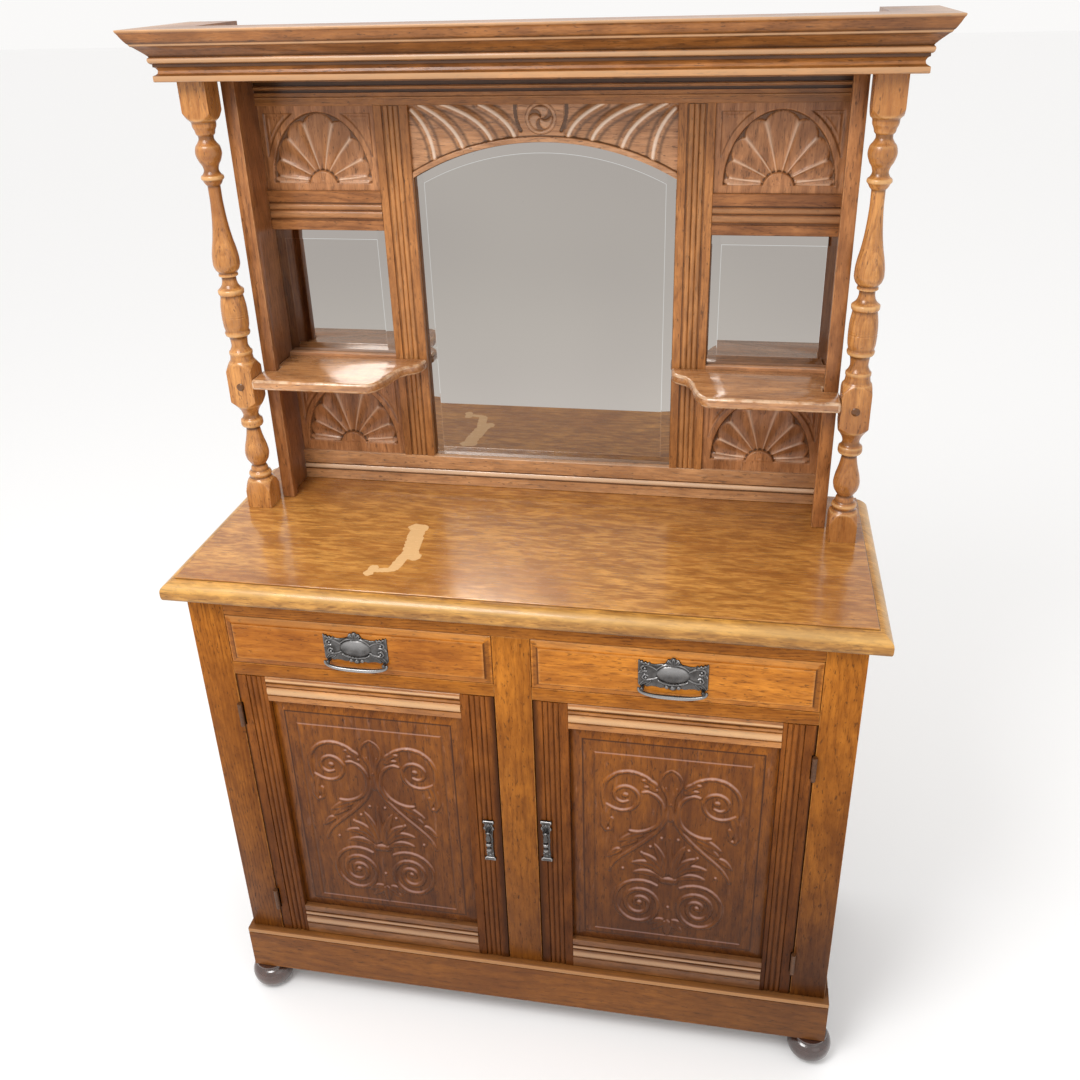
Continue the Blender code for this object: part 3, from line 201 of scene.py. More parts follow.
def grainNoise(tree, coords, stretch, detail=3.0, rough=0.55):
    placed = add(tree, "ShaderNodeMapping", {"Vector": coords, "Scale": stretch})
    noise = add(tree, "ShaderNodeTexNoise",
                {"Vector": placed.outputs[0], "Scale": 1.0, "Detail": detail, "Roughness": rough})
    return noise.outputs["Fac"]


def mark(tree, name):
    return add(tree, "ShaderNodeAttribute", None, attribute_name=name).outputs["Fac"]


def newFinish(name):
    finish = bpy.data.materials.new(name)
    finish.use_nodes = True
    tree = finish.node_tree
    place = add(tree, "ShaderNodeTexCoord").outputs["Object"]
    return finish, tree, tree.nodes["Principled BSDF"].inputs, place


# Per metre: how often each layer of the wood's figure repeats along the grain and across it.
grainScales = {
    "bands": (0.9, 13.0, 13.0),
    "wander": (2.2, 9.0, 9.0),
    "fibres": (9.0, 330.0, 330.0),
    "pores": (60.0, 620.0, 620.0),
    "flecks": (26.0, 130.0, 130.0),
    "flame": (22.0, 105.0, 105.0),
    "patches": (3.2, 4.5, 4.5),
    "mottle": (17.0, 44.0, 44.0),
    "dirt": (70.0, 230.0, 230.0),
    "wear": (60.0, 60.0, 60.0),
    "warp": (9.0, 16.0, 16.0),
}
# Where each layer of noise begins to count and where it counts fully, and how strongly layers show.
grainSpans = {
    "pores": (0.55, 0.66),
    "flecks": (0.60, 0.74),
    "flame": (0.40, 0.62),
    "patches": (0.46, 0.66),
    "mottle": (0.34, 0.66),
    "dirt": (0.655, 0.70),
    "wear": (0.30, 0.66),
    "figure": (0.42, 1.02),
}
layerShares = {
    "bands": 0.85,
    "rings": 0.12,
    "fibres": 0.55,
    "flecks": 0.10,
    "pores": 0.70,
    "patches": 0.52,
    "wear": 0.50,
    "ridge": 0.68,
    "hollow": 0.86,
}
yearRing = {"spacing": 0.0062, "wander": 0.045, "heart": (0, 0.09, 0.13), "askew": (0, 0.05, 0.035)}
warpReach = 0.035
grainTurns = {"x": (0, 0, 0), "y": (0, 0, math.pi / 2), "z": (0, math.pi / 2, 0)}
grainShift = (0.37, 0.61, 0.23)  # from one finish to the next, so that no two boards match

# Light, dark, and worn and sheen tones in linear light, how strong the flame is, and how dull the varnish is.
# The worn and sheen tone colours rubbed arrises and also the painted highlights. The carved, head, ledge and
# rail tones are lighter and paler as painted light and sheen, and the foot's light tone is pinker as a
# painted highlight.
oakTones = {
    "top": {"light": (0.62, 0.290, 0.066), "dark": (0.26, 0.074, 0.009), "worn": (0.70, 0.40, 0.14),
            "flame": 0.56, "dull": 0.15, "gloss": 0.55, "dirt": 0.15},
    "golden": {"light": (0.47, 0.160, 0.017), "dark": (0.16, 0.042, 0.004), "worn": (0.56, 0.25, 0.06),
               "flame": 0.20, "dull": 0.32, "gloss": 0.10},
    "drawer": {"light": (0.59, 0.212, 0.024), "dark": (0.26, 0.070, 0.006), "worn": (0.72, 0.39, 0.15),
               "flame": 0.20, "dull": 0.28, "gloss": 0.14},
    "brown": {"light": (0.33, 0.110, 0.016), "dark": (0.12, 0.034, 0.004), "worn": (0.46, 0.20, 0.06),
              "flame": 0.25, "dull": 0.30, "gloss": 0.10},
    "upright": {"light": (0.42, 0.170, 0.053), "dark": (0.14, 0.047, 0.015), "worn": (0.52, 0.27, 0.12),
                "flame": 0.25, "dull": 0.30, "gloss": 0.30},
    "door": {"light": (0.30, 0.092, 0.013), "dark": (0.110, 0.029, 0.004), "worn": (0.34, 0.125, 0.030),
             "flame": 0.20, "dull": 0.32, "gloss": 0.08},
    "rail": {"light": (0.56, 0.225, 0.055), "dark": (0.24, 0.080, 0.015), "worn": (0.78, 0.50, 0.26),
             "flame": 0.20, "dull": 0.27, "gloss": 0.30},
    "ledge": {"light": (0.60, 0.290, 0.110), "dark": (0.26, 0.105, 0.036), "worn": (0.85, 0.63, 0.42),
              "flame": 0.20, "dull": 0.17, "gloss": 0.80},
    "panel": {"light": (0.330, 0.102, 0.009), "dark": (0.120, 0.031, 0.004), "worn": (0.64, 0.40, 0.32),
              "flame": 0.25, "dull": 0.30, "gloss": 0.16},
    "carved": {"light": (0.54, 0.240, 0.094), "dark": (0.20, 0.074, 0.023), "worn": (0.84, 0.60, 0.43),
               "flame": 0.20, "dull": 0.28, "gloss": 0.40},
    "head": {"light": (0.60, 0.300, 0.138), "dark": (0.25, 0.104, 0.038), "worn": (0.95, 0.78, 0.62),
             "flame": 0.20, "dull": 0.26, "gloss": 0.50},
    "column": {"light": (0.58, 0.260, 0.072), "dark": (0.27, 0.093, 0.020), "worn": (0.74, 0.44, 0.18),
               "flame": 0.15, "dull": 0.20, "gloss": 0.45},
    "cornice": {"light": (0.39, 0.148, 0.034), "dark": (0.13, 0.043, 0.009), "worn": (0.56, 0.34, 0.18),
                "flame": 0.20, "dull": 0.28, "gloss": 0.40},
    "nosing": {"light": (0.63, 0.305, 0.060), "dark": (0.23, 0.090, 0.012), "worn": (0.70, 0.44, 0.16),
               "flame": 0.45, "dull": 0.26, "gloss": 0.40, "dirt": 0.35},
    "muntin": {"light": (0.50, 0.205, 0.058), "dark": (0.19, 0.068, 0.017), "worn": (0.62, 0.34, 0.15),
               "flame": 0.20, "dull": 0.27, "gloss": 0.35},
    "foot": {"light": (0.27, 0.125, 0.078), "dark": (0.08, 0.032, 0.018), "worn": (0.62, 0.46, 0.38),
             "flame": 0.10, "dull": 0.14, "gloss": 1.00},
    "inside": {"light": (0.42, 0.260, 0.130), "dark": (0.26, 0.150, 0.070), "worn": (0.50, 0.34, 0.20),
               "flame": 0.10, "dull": 0.60, "gloss": 0.10},
}
# What the oak finishes share: wax and painted shade, dirt, mottling, and the painted shade that darkens them
# towards the floor and to the right.
varnish = {
    "wax": 0.30,
    "mottle": ((0.84, 0.80, 0.76), (1.13, 1.15, 1.18)),
    "dirt": 0.55,
    "dirtColour": (0.035, 0.014, 0.006),
    "darkening": (0.14, 0.95),
    "lowShadeTint": (0.38, 0.35, 0.37),
    "lowRightShadeTint": (0.25, 0.225, 0.27),
    "lowCrestShade": (0.66, 0.62, 0.68),
    "coat": 0.35,
    "coatRoughness": 0.08,
    "bumpStrength": 0.20,
    "bumpDistance": 0.0005,
}
finishes = {}


def warp(tree, coords):
    # Bends a pattern, so that it wanders as figured wood does.
    placed = add(tree, "ShaderNodeMapping", {"Vector": coords, "Scale": grainScales["warp"]}).outputs[0]
    noise = add(tree, "ShaderNodeTexNoise", {"Vector": placed, "Scale": 1.0, "Detail": 2.0}).outputs["Color"]
    middle = vectorSum(tree, "SUBTRACT", noise, (0.5, 0.5, 0.5))
    return vectorSum(tree, "SCALE", middle, scale=warpReach)


def yearRings(tree, coords):
    # Rings round a heart that lies beside the board and runs a little askew to it.
    leaning = add(tree, "ShaderNodeMapping",
                  {"Vector": coords, "Rotation": yearRing["askew"], "Location": yearRing["heart"]}).outputs[0]
    far = vectorSum(tree, "LENGTH", vectorSum(tree, "MULTIPLY", leaning, (0, 1, 1)))
    wander = times(tree, grainNoise(tree, coords, grainScales["wander"], 4.0), yearRing["wander"])
    phase = sums(tree, "FRACT", sums(tree, "DIVIDE", plus(tree, far, wander), yearRing["spacing"]))
    return minus(tree, between(tree, phase, 0.0, 0.5), between(tree, phase, 0.86, 1.0))


def oak(tone, grain, patch=False):
    key = (tone, grain, patch)
    if key in finishes:
        return finishes[key]
    look = oakTones[tone]
    finish, tree, shader, place = newFinish(f"{tone}Oak{grain.upper()}" + ("Worn" if patch else ""))
    shift = tuple(step * len(finishes) for step in grainShift)
    coords = add(tree, "ShaderNodeMapping",
                 {"Vector": place, "Rotation": grainTurns[grain], "Location": shift}).outputs[0]

    def layer(name, detail=2.0, rough=0.55, at=coords):
        return grainNoise(tree, at, grainScales[name], detail, rough)

    def spread(name, *settings):
        return between(tree, layer(name, *settings), *grainSpans[name])

    rings = yearRings(tree, coords)
    bands = layer("bands")
    fibres = layer("fibres", 4.0, 0.65)
    pores = times(tree, spread("pores"), minus(tree, 1.0, times(tree, rings, 0.6)))
    flecks = spread("flecks")
    flame = spread("flame", 3.0, 0.55, vectorSum(tree, "ADD", coords, warp(tree, coords)))
    patches = layer("patches", 4.0, 0.6)

    figure = plus(tree, times(tree, bands, layerShares["bands"]), times(tree, rings, layerShares["rings"]))
    figure = plus(tree, figure, times(tree, fibres, layerShares["fibres"]))
    figure = between(tree, figure, *grainSpans["figure"])
    figure = plus(tree, times(tree, figure, 1 - look["flame"]), times(tree, flame, look["flame"]))
    wax = tuple(varnish["wax"] * c for c in look["dark"])
    colour = blended(tree, figure, look["dark"], look["light"])
    colour = blended(tree, times(tree, flecks, layerShares["flecks"]), colour, look["worn"])
    colour = blended(tree, times(tree, pores, layerShares["pores"]), colour, wax)
    shade = times(tree, between(tree, patches, *grainSpans["patches"]), layerShares["patches"])
    colour = blended(tree, shade, colour, look["dark"])
    colour = tinted(tree, colour, blended(tree, spread("mottle", 4.0, 0.6), *varnish["mottle"]))
    dirt = times(tree, spread("dirt"), look.get("dirt", varnish["dirt"]))
    colour = blended(tree, dirt, colour, varnish["dirtColour"])

    # Painted shade: the colour darkens towards the floor, and most at the right, where less light falls. The
    # highlight colour is dimmed low down as well.
    spot = add(tree, "ShaderNodeSeparateXYZ", {0: place}).outputs
    up = between(tree, spot["Z"], *varnish["darkening"])
    low = blended(tree, between(tree, spot["X"], 0.05, 0.56), varnish["lowShadeTint"], varnish["lowRightShadeTint"])
    colour = blended(tree, up, tinted(tree, colour, low), colour)
    crest = tuple(k * c for k, c in zip(varnish["lowCrestShade"], look["worn"]))
    crest = blended(tree, up, crest, look["worn"])

    # Arrises rubbed lighter and dark wax in the quirks and hollows. The tone attribute also carries painted
    # highlights on ridges and painted shade in hollows, blended in here.
    touch = mark(tree, "tone")
    worn = times(tree, mark(tree, "wear"), times(tree, spread("wear", 3.0), layerShares["wear"]))
    colour = blended(tree, worn, colour, crest)
    ridge = times(tree, between(tree, touch, 0.05, 1.0), layerShares["ridge"])
    colour = blended(tree, ridge, colour, crest)
    hollow = times(tree, between(tree, times(tree, touch, -1.0), 0.03, 0.8), layerShares["hollow"])
    colour = blended(tree, hollow, colour, wax)
    if patch:
        colour = bareVeneer(tree, place, colour, fibres)
    tree.links.new(colour, shader["Base Color"])

    dull = plus(tree, times(tree, patches, 0.20), look["dull"] - 0.06)
    tree.links.new(plus(tree, dull, times(tree, pores, 0.15)), shader["Roughness"])
    height = minus(tree, times(tree, fibres, 0.35), times(tree, pores, 0.8))
    bump = add(tree, "ShaderNodeBump", {"Height": height, "Strength": varnish["bumpStrength"],
                                        "Distance": varnish["bumpDistance"]})
    tree.links.new(bump.outputs[0], shader["Normal"])
    shader["Specular IOR Level"].default_value = look["gloss"]
    shader["Coat Weight"].default_value = varnish["coat"] * look["gloss"]
    shader["Coat Roughness"].default_value = varnish["coatRoughness"]
    finishes[key] = finish
    return finish


# The bare patch in the worktop's veneer: strokes with their two ends and widths, on the top's own X and Y.
barePatch = {
    "colour": (0.80, 0.50, 0.23),
    "strokes": (
        ((-0.222, 0.014), (-0.212, 0.011), 0.0145),
        ((-0.215, -0.004), (-0.207, -0.066), 0.0155),
        ((-0.206, -0.066), (-0.194, -0.094), 0.0125),
        ((-0.211, -0.078), (-0.218, -0.134), 0.0100),
        ((-0.219, -0.140), (-0.249, -0.147), 0.0072),
        ((-0.253, -0.137), (-0.257, -0.157), 0.0088),
    ),
    "ragged": 0.0102,
    "edge": 0.0009,
    "depth": (0.003, 0.001),
    # Painted shade: tints that darken the top towards the back and the right.
    "rear": ((-0.06, 0.20), 0.75, (0.66, 0.60, 0.52)),
    "right": ((0.12, 0.46), 0.65, (0.76, 0.68, 0.58)),
}


def bareVeneer(tree, place, colour, fibres):
    # Painted shade: the top is darker at the back and at the right, where less sheen falls.
    spot = add(tree, "ShaderNodeSeparateXYZ", {0: place}).outputs
    for axis, (span, strength, tint) in (("Y", barePatch["rear"]), ("X", barePatch["right"])):
        share = times(tree, between(tree, spot[axis], *span), strength)
        colour = blended(tree, share, colour, tinted(tree, colour, tint))
    # How deep inside any of the strokes a point lies, with a ragged edge.
    ragged = minus(tree, grainNoise(tree, place, (110.0, 90.0, 90.0), 3.0), 0.5)
    deepest = -1.0
    flat = vectorSum(tree, "MULTIPLY", place, (1, 1, 0))
    for a, b, width in barePatch["strokes"]:
        start, run = Vector((*a, 0)), Vector((b[0] - a[0], b[1] - a[1], 0))
        offset = vectorSum(tree, "SUBTRACT", flat, start)
        along = vectorSum(tree, "DOT_PRODUCT", offset, run / run.length_squared)
        held = add(tree, "ShaderNodeClamp", {"Value": along}).outputs[0]
        gap = vectorSum(tree, "DISTANCE", offset, vectorSum(tree, "SCALE", run, scale=held))
        deepest = sums(tree, "MAXIMUM", minus(tree, width, gap), deepest)
    uneven = plus(tree, deepest, times(tree, ragged, barePatch["ragged"]))
    inside = between(tree, uneven, 0.0, barePatch["edge"])
    above = between(tree, spot["Z"], *(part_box("top_board")[1].z - depth for depth in barePatch["depth"]))
    bare = blended(tree, fibres, tuple(0.86 * c for c in barePatch["colour"]), barePatch["colour"])
    return blended(tree, times(tree, inside, above), colour, bare)


pewterLook = {
    "clouds": ((0.050, 0.047, 0.045), (0.125, 0.120, 0.118)),
    "stain": (0.09, 0.078, 0.068),
    "rubbed": (0.46, 0.45, 0.445),
    "hollow": (0.012, 0.010, 0.010),
    "metallic": 0.85,
}
brassLook = {"clouds": ((0.060, 0.022, 0.007), (0.125, 0.048, 0.014)), "metallic": 0.25}
glassLook = {
    "clouds": ((0.43, 0.40, 0.375), (0.48, 0.45, 0.415)),
    "spot": (0.22, 0.19, 0.15),
    # A painted highlight along the bevel's arrises.
    "arris": (0.80, 0.82, 0.81),
}


def pewter():
    if "pewter" in finishes:
        return finishes["pewter"]
    finish, tree, shader, place = newFinish("darkPewter")
    tarnish = grainNoise(tree, place, (260.0, 260.0, 260.0), 4.0, 0.65)
    clouds = grainNoise(tree, place, (60.0, 60.0, 60.0), 3.0)
    colour = blended(tree, between(tree, clouds, 0.3, 0.7), *pewterLook["clouds"])
    spots = times(tree, between(tree, tarnish, 0.45, 0.7), 0.5)
    colour = blended(tree, spots, colour, pewterLook["stain"])
    touch = mark(tree, "tone")
    colour = blended(tree, between(tree, touch, 0.0, 0.9), colour, pewterLook["rubbed"])
    colour = blended(tree, between(tree, times(tree, touch, -1.0), 0.0, 0.6), colour, pewterLook["hollow"])
    tree.links.new(colour, shader["Base Color"])
    shader["Metallic"].default_value = pewterLook["metallic"]
    tree.links.new(plus(tree, times(tree, tarnish, 0.22), 0.18), shader["Roughness"])
    bump = add(tree, "ShaderNodeBump", {"Height": tarnish, "Strength": 0.18, "Distance": 0.0003})
    tree.links.new(bump.outputs[0], shader["Normal"])
    finishes["pewter"] = finish
    return finish


def agedBrass():
    if "brass" in finishes:
        return finishes["brass"]
    finish, tree, shader, place = newFinish("agedBrass")
    tarnish = grainNoise(tree, place, (300.0, 300.0, 300.0), 4.0, 0.6)
    colour = blended(tree, between(tree, tarnish, 0.3, 0.7), *brassLook["clouds"])
    tree.links.new(colour, shader["Base Color"])
    shader["Metallic"].default_value = brassLook["metallic"]
    tree.links.new(plus(tree, times(tree, tarnish, 0.25), 0.32), shader["Roughness"])
    finishes["brass"] = finish
    return finish


def silveredGlass():
    if "glass" in finishes:
        return finishes["glass"]
    finish, tree, shader, place = newFinish("silveredGlass")
    haze = grainNoise(tree, place, (2.5, 2.5, 2.5), 1.0, 0.5)
    spots = between(tree, grainNoise(tree, place, (210.0, 210.0, 210.0), 2.0), 0.75, 0.80)
    colour = blended(tree, between(tree, haze, 0.25, 0.75), *glassLook["clouds"])
    colour = blended(tree, times(tree, spots, 0.30), colour, glassLook["spot"])
    colour = blended(tree, between(tree, mark(tree, "tone"), 0.0, 1.0), colour, glassLook["arris"])
    tree.links.new(colour, shader["Base Color"])
    shader["Metallic"].default_value = 1.0
    tree.links.new(plus(tree, times(tree, haze, 0.02), 0.004), shader["Roughness"])
    finishes["glass"] = finish
    return finish


print("finishes described")


# Making pieces

def camel(node):
    words = node.split("_")
    return words[0] + "".join(word.capitalize() for word in words[1:])


def addPiece(name, data, finish, node, smoothAngle):
    data.materials.clear()
    data.materials.append(finish)
    data.shade_smooth()
    data.set_sharp_from_angle(angle=math.radians(smoothAngle))
    piece = bpy.data.objects.new(name, data)
    bpy.context.scene.collection.objects.link(piece)
    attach(piece, bodyOf[node])
    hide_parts(node)


def faceOutwards(data):
    bm = bmesh.new()
    bm.from_mesh(data)
    bmesh.ops.recalc_face_normals(bm, faces=bm.faces)
    bm.to_mesh(data)
    bm.free()


def placesOf(data):
    spots = np.empty(len(data.vertices) * 3)
    data.vertices.foreach_get("co", spots)
    return spots.reshape(-1, 3)


def markPoints(data, name, values):
    data.attributes.new(name, "FLOAT", "POINT").data.foreach_set("value", np.asarray(values, np.float32))


def meshOf(name, points, faces, tone):
    data = bpy.data.meshes.new(name)
    data.from_pydata([tuple(float(v) for v in point) for point in points], [], faces)
    data.update()
    faceOutwards(data)
    markPoints(data, "tone", np.clip(np.asarray(tone, np.float32), -1, 1))
    return data


def joined(name, meshes):
    # One mesh out of several, each moved by its own matrix.
    bm = bmesh.new()
    for data, matrix in meshes:
        moved = data.copy()
        moved.transform(matrix)
        if matrix.determinant() < 0:
            moved.flip_normals()
        bm.from_mesh(moved)
        bpy.data.meshes.remove(moved)
    whole = bpy.data.meshes.new(name)
    bm.to_mesh(whole)
    bm.free()
    return whole


# Geometry trees

def newTree(name, inputs):
    tree = bpy.data.node_groups.new(name, "GeometryNodeTree")
    tree.interface.new_socket("Geometry", in_out="INPUT", socket_type="NodeSocketGeometry")
    for label, (kind, value) in inputs.items():
        socket = tree.interface.new_socket(label, in_out="INPUT", socket_type="NodeSocket" + kind)
        if value is not None:
            socket.default_value = value
    tree.interface.new_socket("Geometry", in_out="OUTPUT", socket_type="NodeSocketGeometry")
    return tree, tree.nodes.new("NodeGroupInput").outputs, tree.nodes.new("NodeGroupOutput").inputs[0]


def finishTree(tree, given, end, geometry):
    real = add(tree, "GeometryNodeRealizeInstances", {"Geometry": geometry})
    painted = add(tree, "GeometryNodeSetMaterial", {"Geometry": real.outputs[0], "Material": given["Finish"]})
    tree.links.new(painted.outputs[0], end)
    return tree


def grown(tree, name, values, line=None):
    # Runs a tree on a line, or on nothing, and keeps the result as a plain mesh.
    holder = bpy.data.objects.new(name, line or bpy.data.meshes.new(name))
    bpy.context.scene.collection.objects.link(holder)
    modifier = holder.modifiers.new(name, "NODES")
    modifier.node_group = tree
    for item in tree.interface.items_tree:
        if item.in_out == "INPUT" and item.name in values:
            modifier[item.identifier] = values[item.name]
    evaluated = holder.evaluated_get(bpy.context.evaluated_depsgraph_get())
    made = bpy.data.meshes.new_from_object(evaluated)
    holder.modifiers.remove(modifier)
    bpy.data.objects.remove(holder)
    return made


def turningTree():
    # A post on a lathe: the line's X is its radius at each height, and square stock limits it.
    tree, given, end = newTree("turnedPost", {
        "Half width": ("Float", 0.024), "Sides": ("Int", 96), "Finish": ("Material", None)})
    line = add(tree, "GeometryNodeMeshToCurve", {"Mesh": given["Geometry"]})
    parts = add(tree, "ShaderNodeSeparateXYZ", {0: add(tree, "GeometryNodeInputPosition").outputs[0]}).outputs
    widened = add(tree, "GeometryNodeSetCurveRadius", {"Curve": line.outputs[0], "Radius": parts["X"]})
    upright = add(tree, "ShaderNodeCombineXYZ", {"Z": parts["Z"]})
    centred = add(tree, "GeometryNodeSetPosition",
                  {"Geometry": widened.outputs[0], "Position": upright.outputs[0]})
    ring = add(tree, "GeometryNodeCurvePrimitiveCircle", {"Resolution": given["Sides"], "Radius": 1.0})
    radius = add(tree, "GeometryNodeInputRadius").outputs[0]
    post = add(tree, "GeometryNodeCurveToMesh",
               {"Curve": centred.outputs[0], "Profile Curve": ring.outputs[0], "Scale": radius,
                "Fill Caps": True})
    corner = add(tree, "ShaderNodeCombineXYZ",
                 {"X": given["Half width"], "Y": given["Half width"], "Z": 9.0}).outputs[0]
    held = vectorSum(tree, "MINIMUM", add(tree, "GeometryNodeInputPosition").outputs[0], corner)
    held = vectorSum(tree, "MAXIMUM", held, vectorSum(tree, "SCALE", corner, scale=-1.0))
    planed = add(tree, "GeometryNodeSetPosition", {"Geometry": post.outputs[0], "Position": held})
    return finishTree(tree, given, end, planed.outputs[0])


def reedTree():
    # Round reeds along X, one above the other.
    tree, given, end = newTree("reedRows", {
        "Length": ("Float", 1.0), "Pitch": ("Float", 0.01), "Count": ("Int", 3), "Radius": ("Float", 0.003),
        "Finish": ("Material", None)})
    pitch = add(tree, "ShaderNodeCombineXYZ", {"Z": given["Pitch"]})
    row = add(tree, "GeometryNodeMeshLine", {"Count": given["Count"], "Offset": pitch.outputs[0]})
    length = add(tree, "ShaderNodeCombineXYZ", {"X": given["Length"]})
    line = add(tree, "GeometryNodeCurvePrimitiveLine", {"End": length.outputs[0]})
    ring = add(tree, "GeometryNodeCurvePrimitiveCircle", {"Resolution": 24, "Radius": given["Radius"]})
    reed = add(tree, "GeometryNodeCurveToMesh",
               {"Curve": line.outputs[0], "Profile Curve": ring.outputs[0], "Fill Caps": True})
    rows = add(tree, "GeometryNodeInstanceOnPoints", {"Points": row.outputs[0], "Instance": reed.outputs[0]})
    return finishTree(tree, given, end, rows.outputs[0])


def wireTree():
    # A wire that follows a line, as thick as the line's own attribute says.
    tree, given, end = newTree("castWire", {"Sides": ("Int", 16), "Finish": ("Material", None)})
    line = add(tree, "GeometryNodeMeshToCurve", {"Mesh": given["Geometry"]})
    wide = add(tree, "GeometryNodeInputNamedAttribute", {"Name": "wide"}, data_type="FLOAT")
    ring = add(tree, "GeometryNodeCurvePrimitiveCircle", {"Resolution": given["Sides"], "Radius": 1.0})
    wire = add(tree, "GeometryNodeCurveToMesh",
               {"Curve": line.outputs[0], "Profile Curve": ring.outputs[0], "Scale": wide.outputs[0],
                "Fill Caps": True})
    return finishTree(tree, given, end, wire.outputs[0])


trees = {"turning": turningTree(), "reeds": reedTree(), "wire": wireTree()}


def lineMesh(name, points):
    data = bpy.data.meshes.new(name)
    data.from_pydata([tuple(float(v) for v in point) for point in points],
                     [(i, i + 1) for i in range(len(points) - 1)], [])
    return data


def turned(name, line, sidesRound, halfWidth=0.1):
    # line holds a radius for each height, and square stock of the half width limits it.
    points = [(radius, 0, height) for radius, height in line]
    given = {"Half width": halfWidth, "Sides": sidesRound}
    return grown(trees["turning"], name, given, lineMesh(name, points))


print("geometry trees built")


# Plain boards, with their arrises taken off as a plane and sandpaper leave them

arris = {"segments": 2, "sharpAngle": 32.0, "flatAngle": 1.5, "weld": 0.00002, "smoothAngle": 40}


def easedBoard(node, finish, width):
    bm = bmesh.new()
    bm.from_mesh(nodes[node].data)
    bmesh.ops.remove_doubles(bm, verts=bm.verts, dist=arris["weld"])
    bmesh.ops.dissolve_limit(bm, angle_limit=math.radians(arris["flatAngle"]), verts=bm.verts, edges=bm.edges)
    sharp = [edge for edge in bm.edges
             if len(edge.link_faces) == 2 and edge.calc_face_angle() > math.radians(arris["sharpAngle"])]
    wear = bm.faces.layers.float.new("wear")
    made = bmesh.ops.bevel(bm, geom=sharp, offset=width, segments=arris["segments"],
                           affect="EDGES", profile=0.5, clamp_overlap=True)
    for face in made["faces"]:
        face[wear] = 1.0
    data = bpy.data.meshes.new(camel(node))
    bm.to_mesh(data)
    bm.free()
    addPiece(camel(node), data, finish, node, arris["smoothAngle"])


boards = {
    "top_rail": ("golden", "x", 0.0010),
    "centre_stile": ("golden", "z", 0.0012),
    "bottom_board": ("inside", "x", 0.0010),
    "dust_board": ("inside", "x", 0.0010),
    "cupboard_shelf": ("inside", "x", 0.0015),
    "base_back": ("inside", "z", 0.0010),
    "upper_back": ("inside", "x", 0.0010),
    "canopy_board": ("inside", "x", 0.0010),
}
sideBoards = {
    "side": ("brown", "z", 0.0010),
    "stile": ("golden", "z", 0.0012),
    "mid_rail": ("golden", "x", 0.0010),
    "drawer_box": ("inside", "y", 0.0010),
    "drawer_bottom": ("inside", "y", 0.0005),
    "upright": ("upright", "z", 0.0012),
    "shelf": ("ledge", "x", 0.0045),
}


def makeBoards():
    todo = dict(boards)
    for _, label in sides:
        todo.update({f"{label}_{part}": look for part, look in sideBoards.items()})
        todo[f"plinth_{label}"] = ("brown", "y", 0.0010)
    for node, (tone, grain, width) in todo.items():
        easedBoard(node, oak(tone, grain), width)


makeBoards()
print("boards eased and finished")


# Mouldings

def swept(profile, corners):
    # A profile of (inset, height, tone) at each corner, inset the way that the corner says.
    points, tone = [], []
    for inset, height, shade in profile:
        points += [(x + dx * inset, y + dy * inset, height) for (x, y), (dx, dy) in corners]
        tone += [shade] * len(corners)
    return points, tone


def mitred(name, node, profile, finish, corners, smoothAngle=28):
    # Sweeps a closed profile round the front and sides, with mitred corners.
    points, tone = swept(profile, corners)
    count, stops = len(profile), len(corners)
    faces = []
    for i in range(count):
        j = (i + 1) % count
        for k in range(stops - 1):
            faces.append((i * stops + k, i * stops + k + 1, j * stops + k + 1, j * stops + k))
    faces.append([i * stops for i in range(count)])
    faces.append([i * stops + stops - 1 for i in range(count)])
    addPiece(name, meshOf(name, points, faces, tone), finish, node, smoothAngle)


def roundFrontAndSides(low, high):
    # Back left, front left, front right and back right, each with the way its inset goes.
    return (((low.x, high.y), (1, 0)), ((low.x, low.y), (1, 1)),
            ((high.x, low.y), (-1, 1)), ((high.x, high.y), (-1, 0)))


# From the underside up: share of the height, inset as a share of the reach, and tone: wax and rubbing,
# together with the painted light and shade of each band.
cornice = {
    "reach": 0.034,
    "depth": 0.090,
    "shares": (
        (0.000, 1.03, 0.2), (0.012, 0.99, 0.6), (0.112, 0.99, 0.8), (0.124, 1.03, -0.3),
        (0.135, 1.10, -0.5), (0.160, 1.17, -0.2), (0.210, 1.20, 0.0), (0.255, 1.15, 0.0),
        (0.275, 1.10, -0.3), (0.285, 1.04, -0.9), (0.335, 1.04, -0.9), (0.345, 0.975, 0.1),
        (0.370, 0.915, 0.6), (0.420, 0.885, 0.9), (0.452, 0.905, 0.4), (0.466, 0.950, -0.2),
        (0.474, 0.965, -0.9), (0.492, 0.945, -0.5), (0.560, 0.790, -0.1), (0.620, 0.635, 0.0),
        (0.672, 0.500, 0.0), (0.680, 0.470, -0.7), (0.690, 0.420, 0.3), (0.714, 0.385, 1.0),
        (0.735, 0.360, 0.3), (0.742, 0.330, -0.6), (0.790, 0.250, 0.0), (0.850, 0.165, 0.0),
        (0.905, 0.100, 0.0), (0.940, 0.055, 0.1), (0.948, 0.030, 0.3), (0.985, 0.000, 0.9),
        (1.000, 0.020, 0.7),
    ),
}


def makeCornice():
    low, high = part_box("cornice")
    profile = [(inset * cornice["reach"], low.z + share * (high.z - low.z), tone)
               for share, inset, tone in cornice["shares"]]
    profile += [(cornice["depth"], high.z, 0), (cornice["depth"], low.z, 0)]
    mitred("cornice", "cornice", profile, oak("cornice", "x"), roundFrontAndSides(low, high))


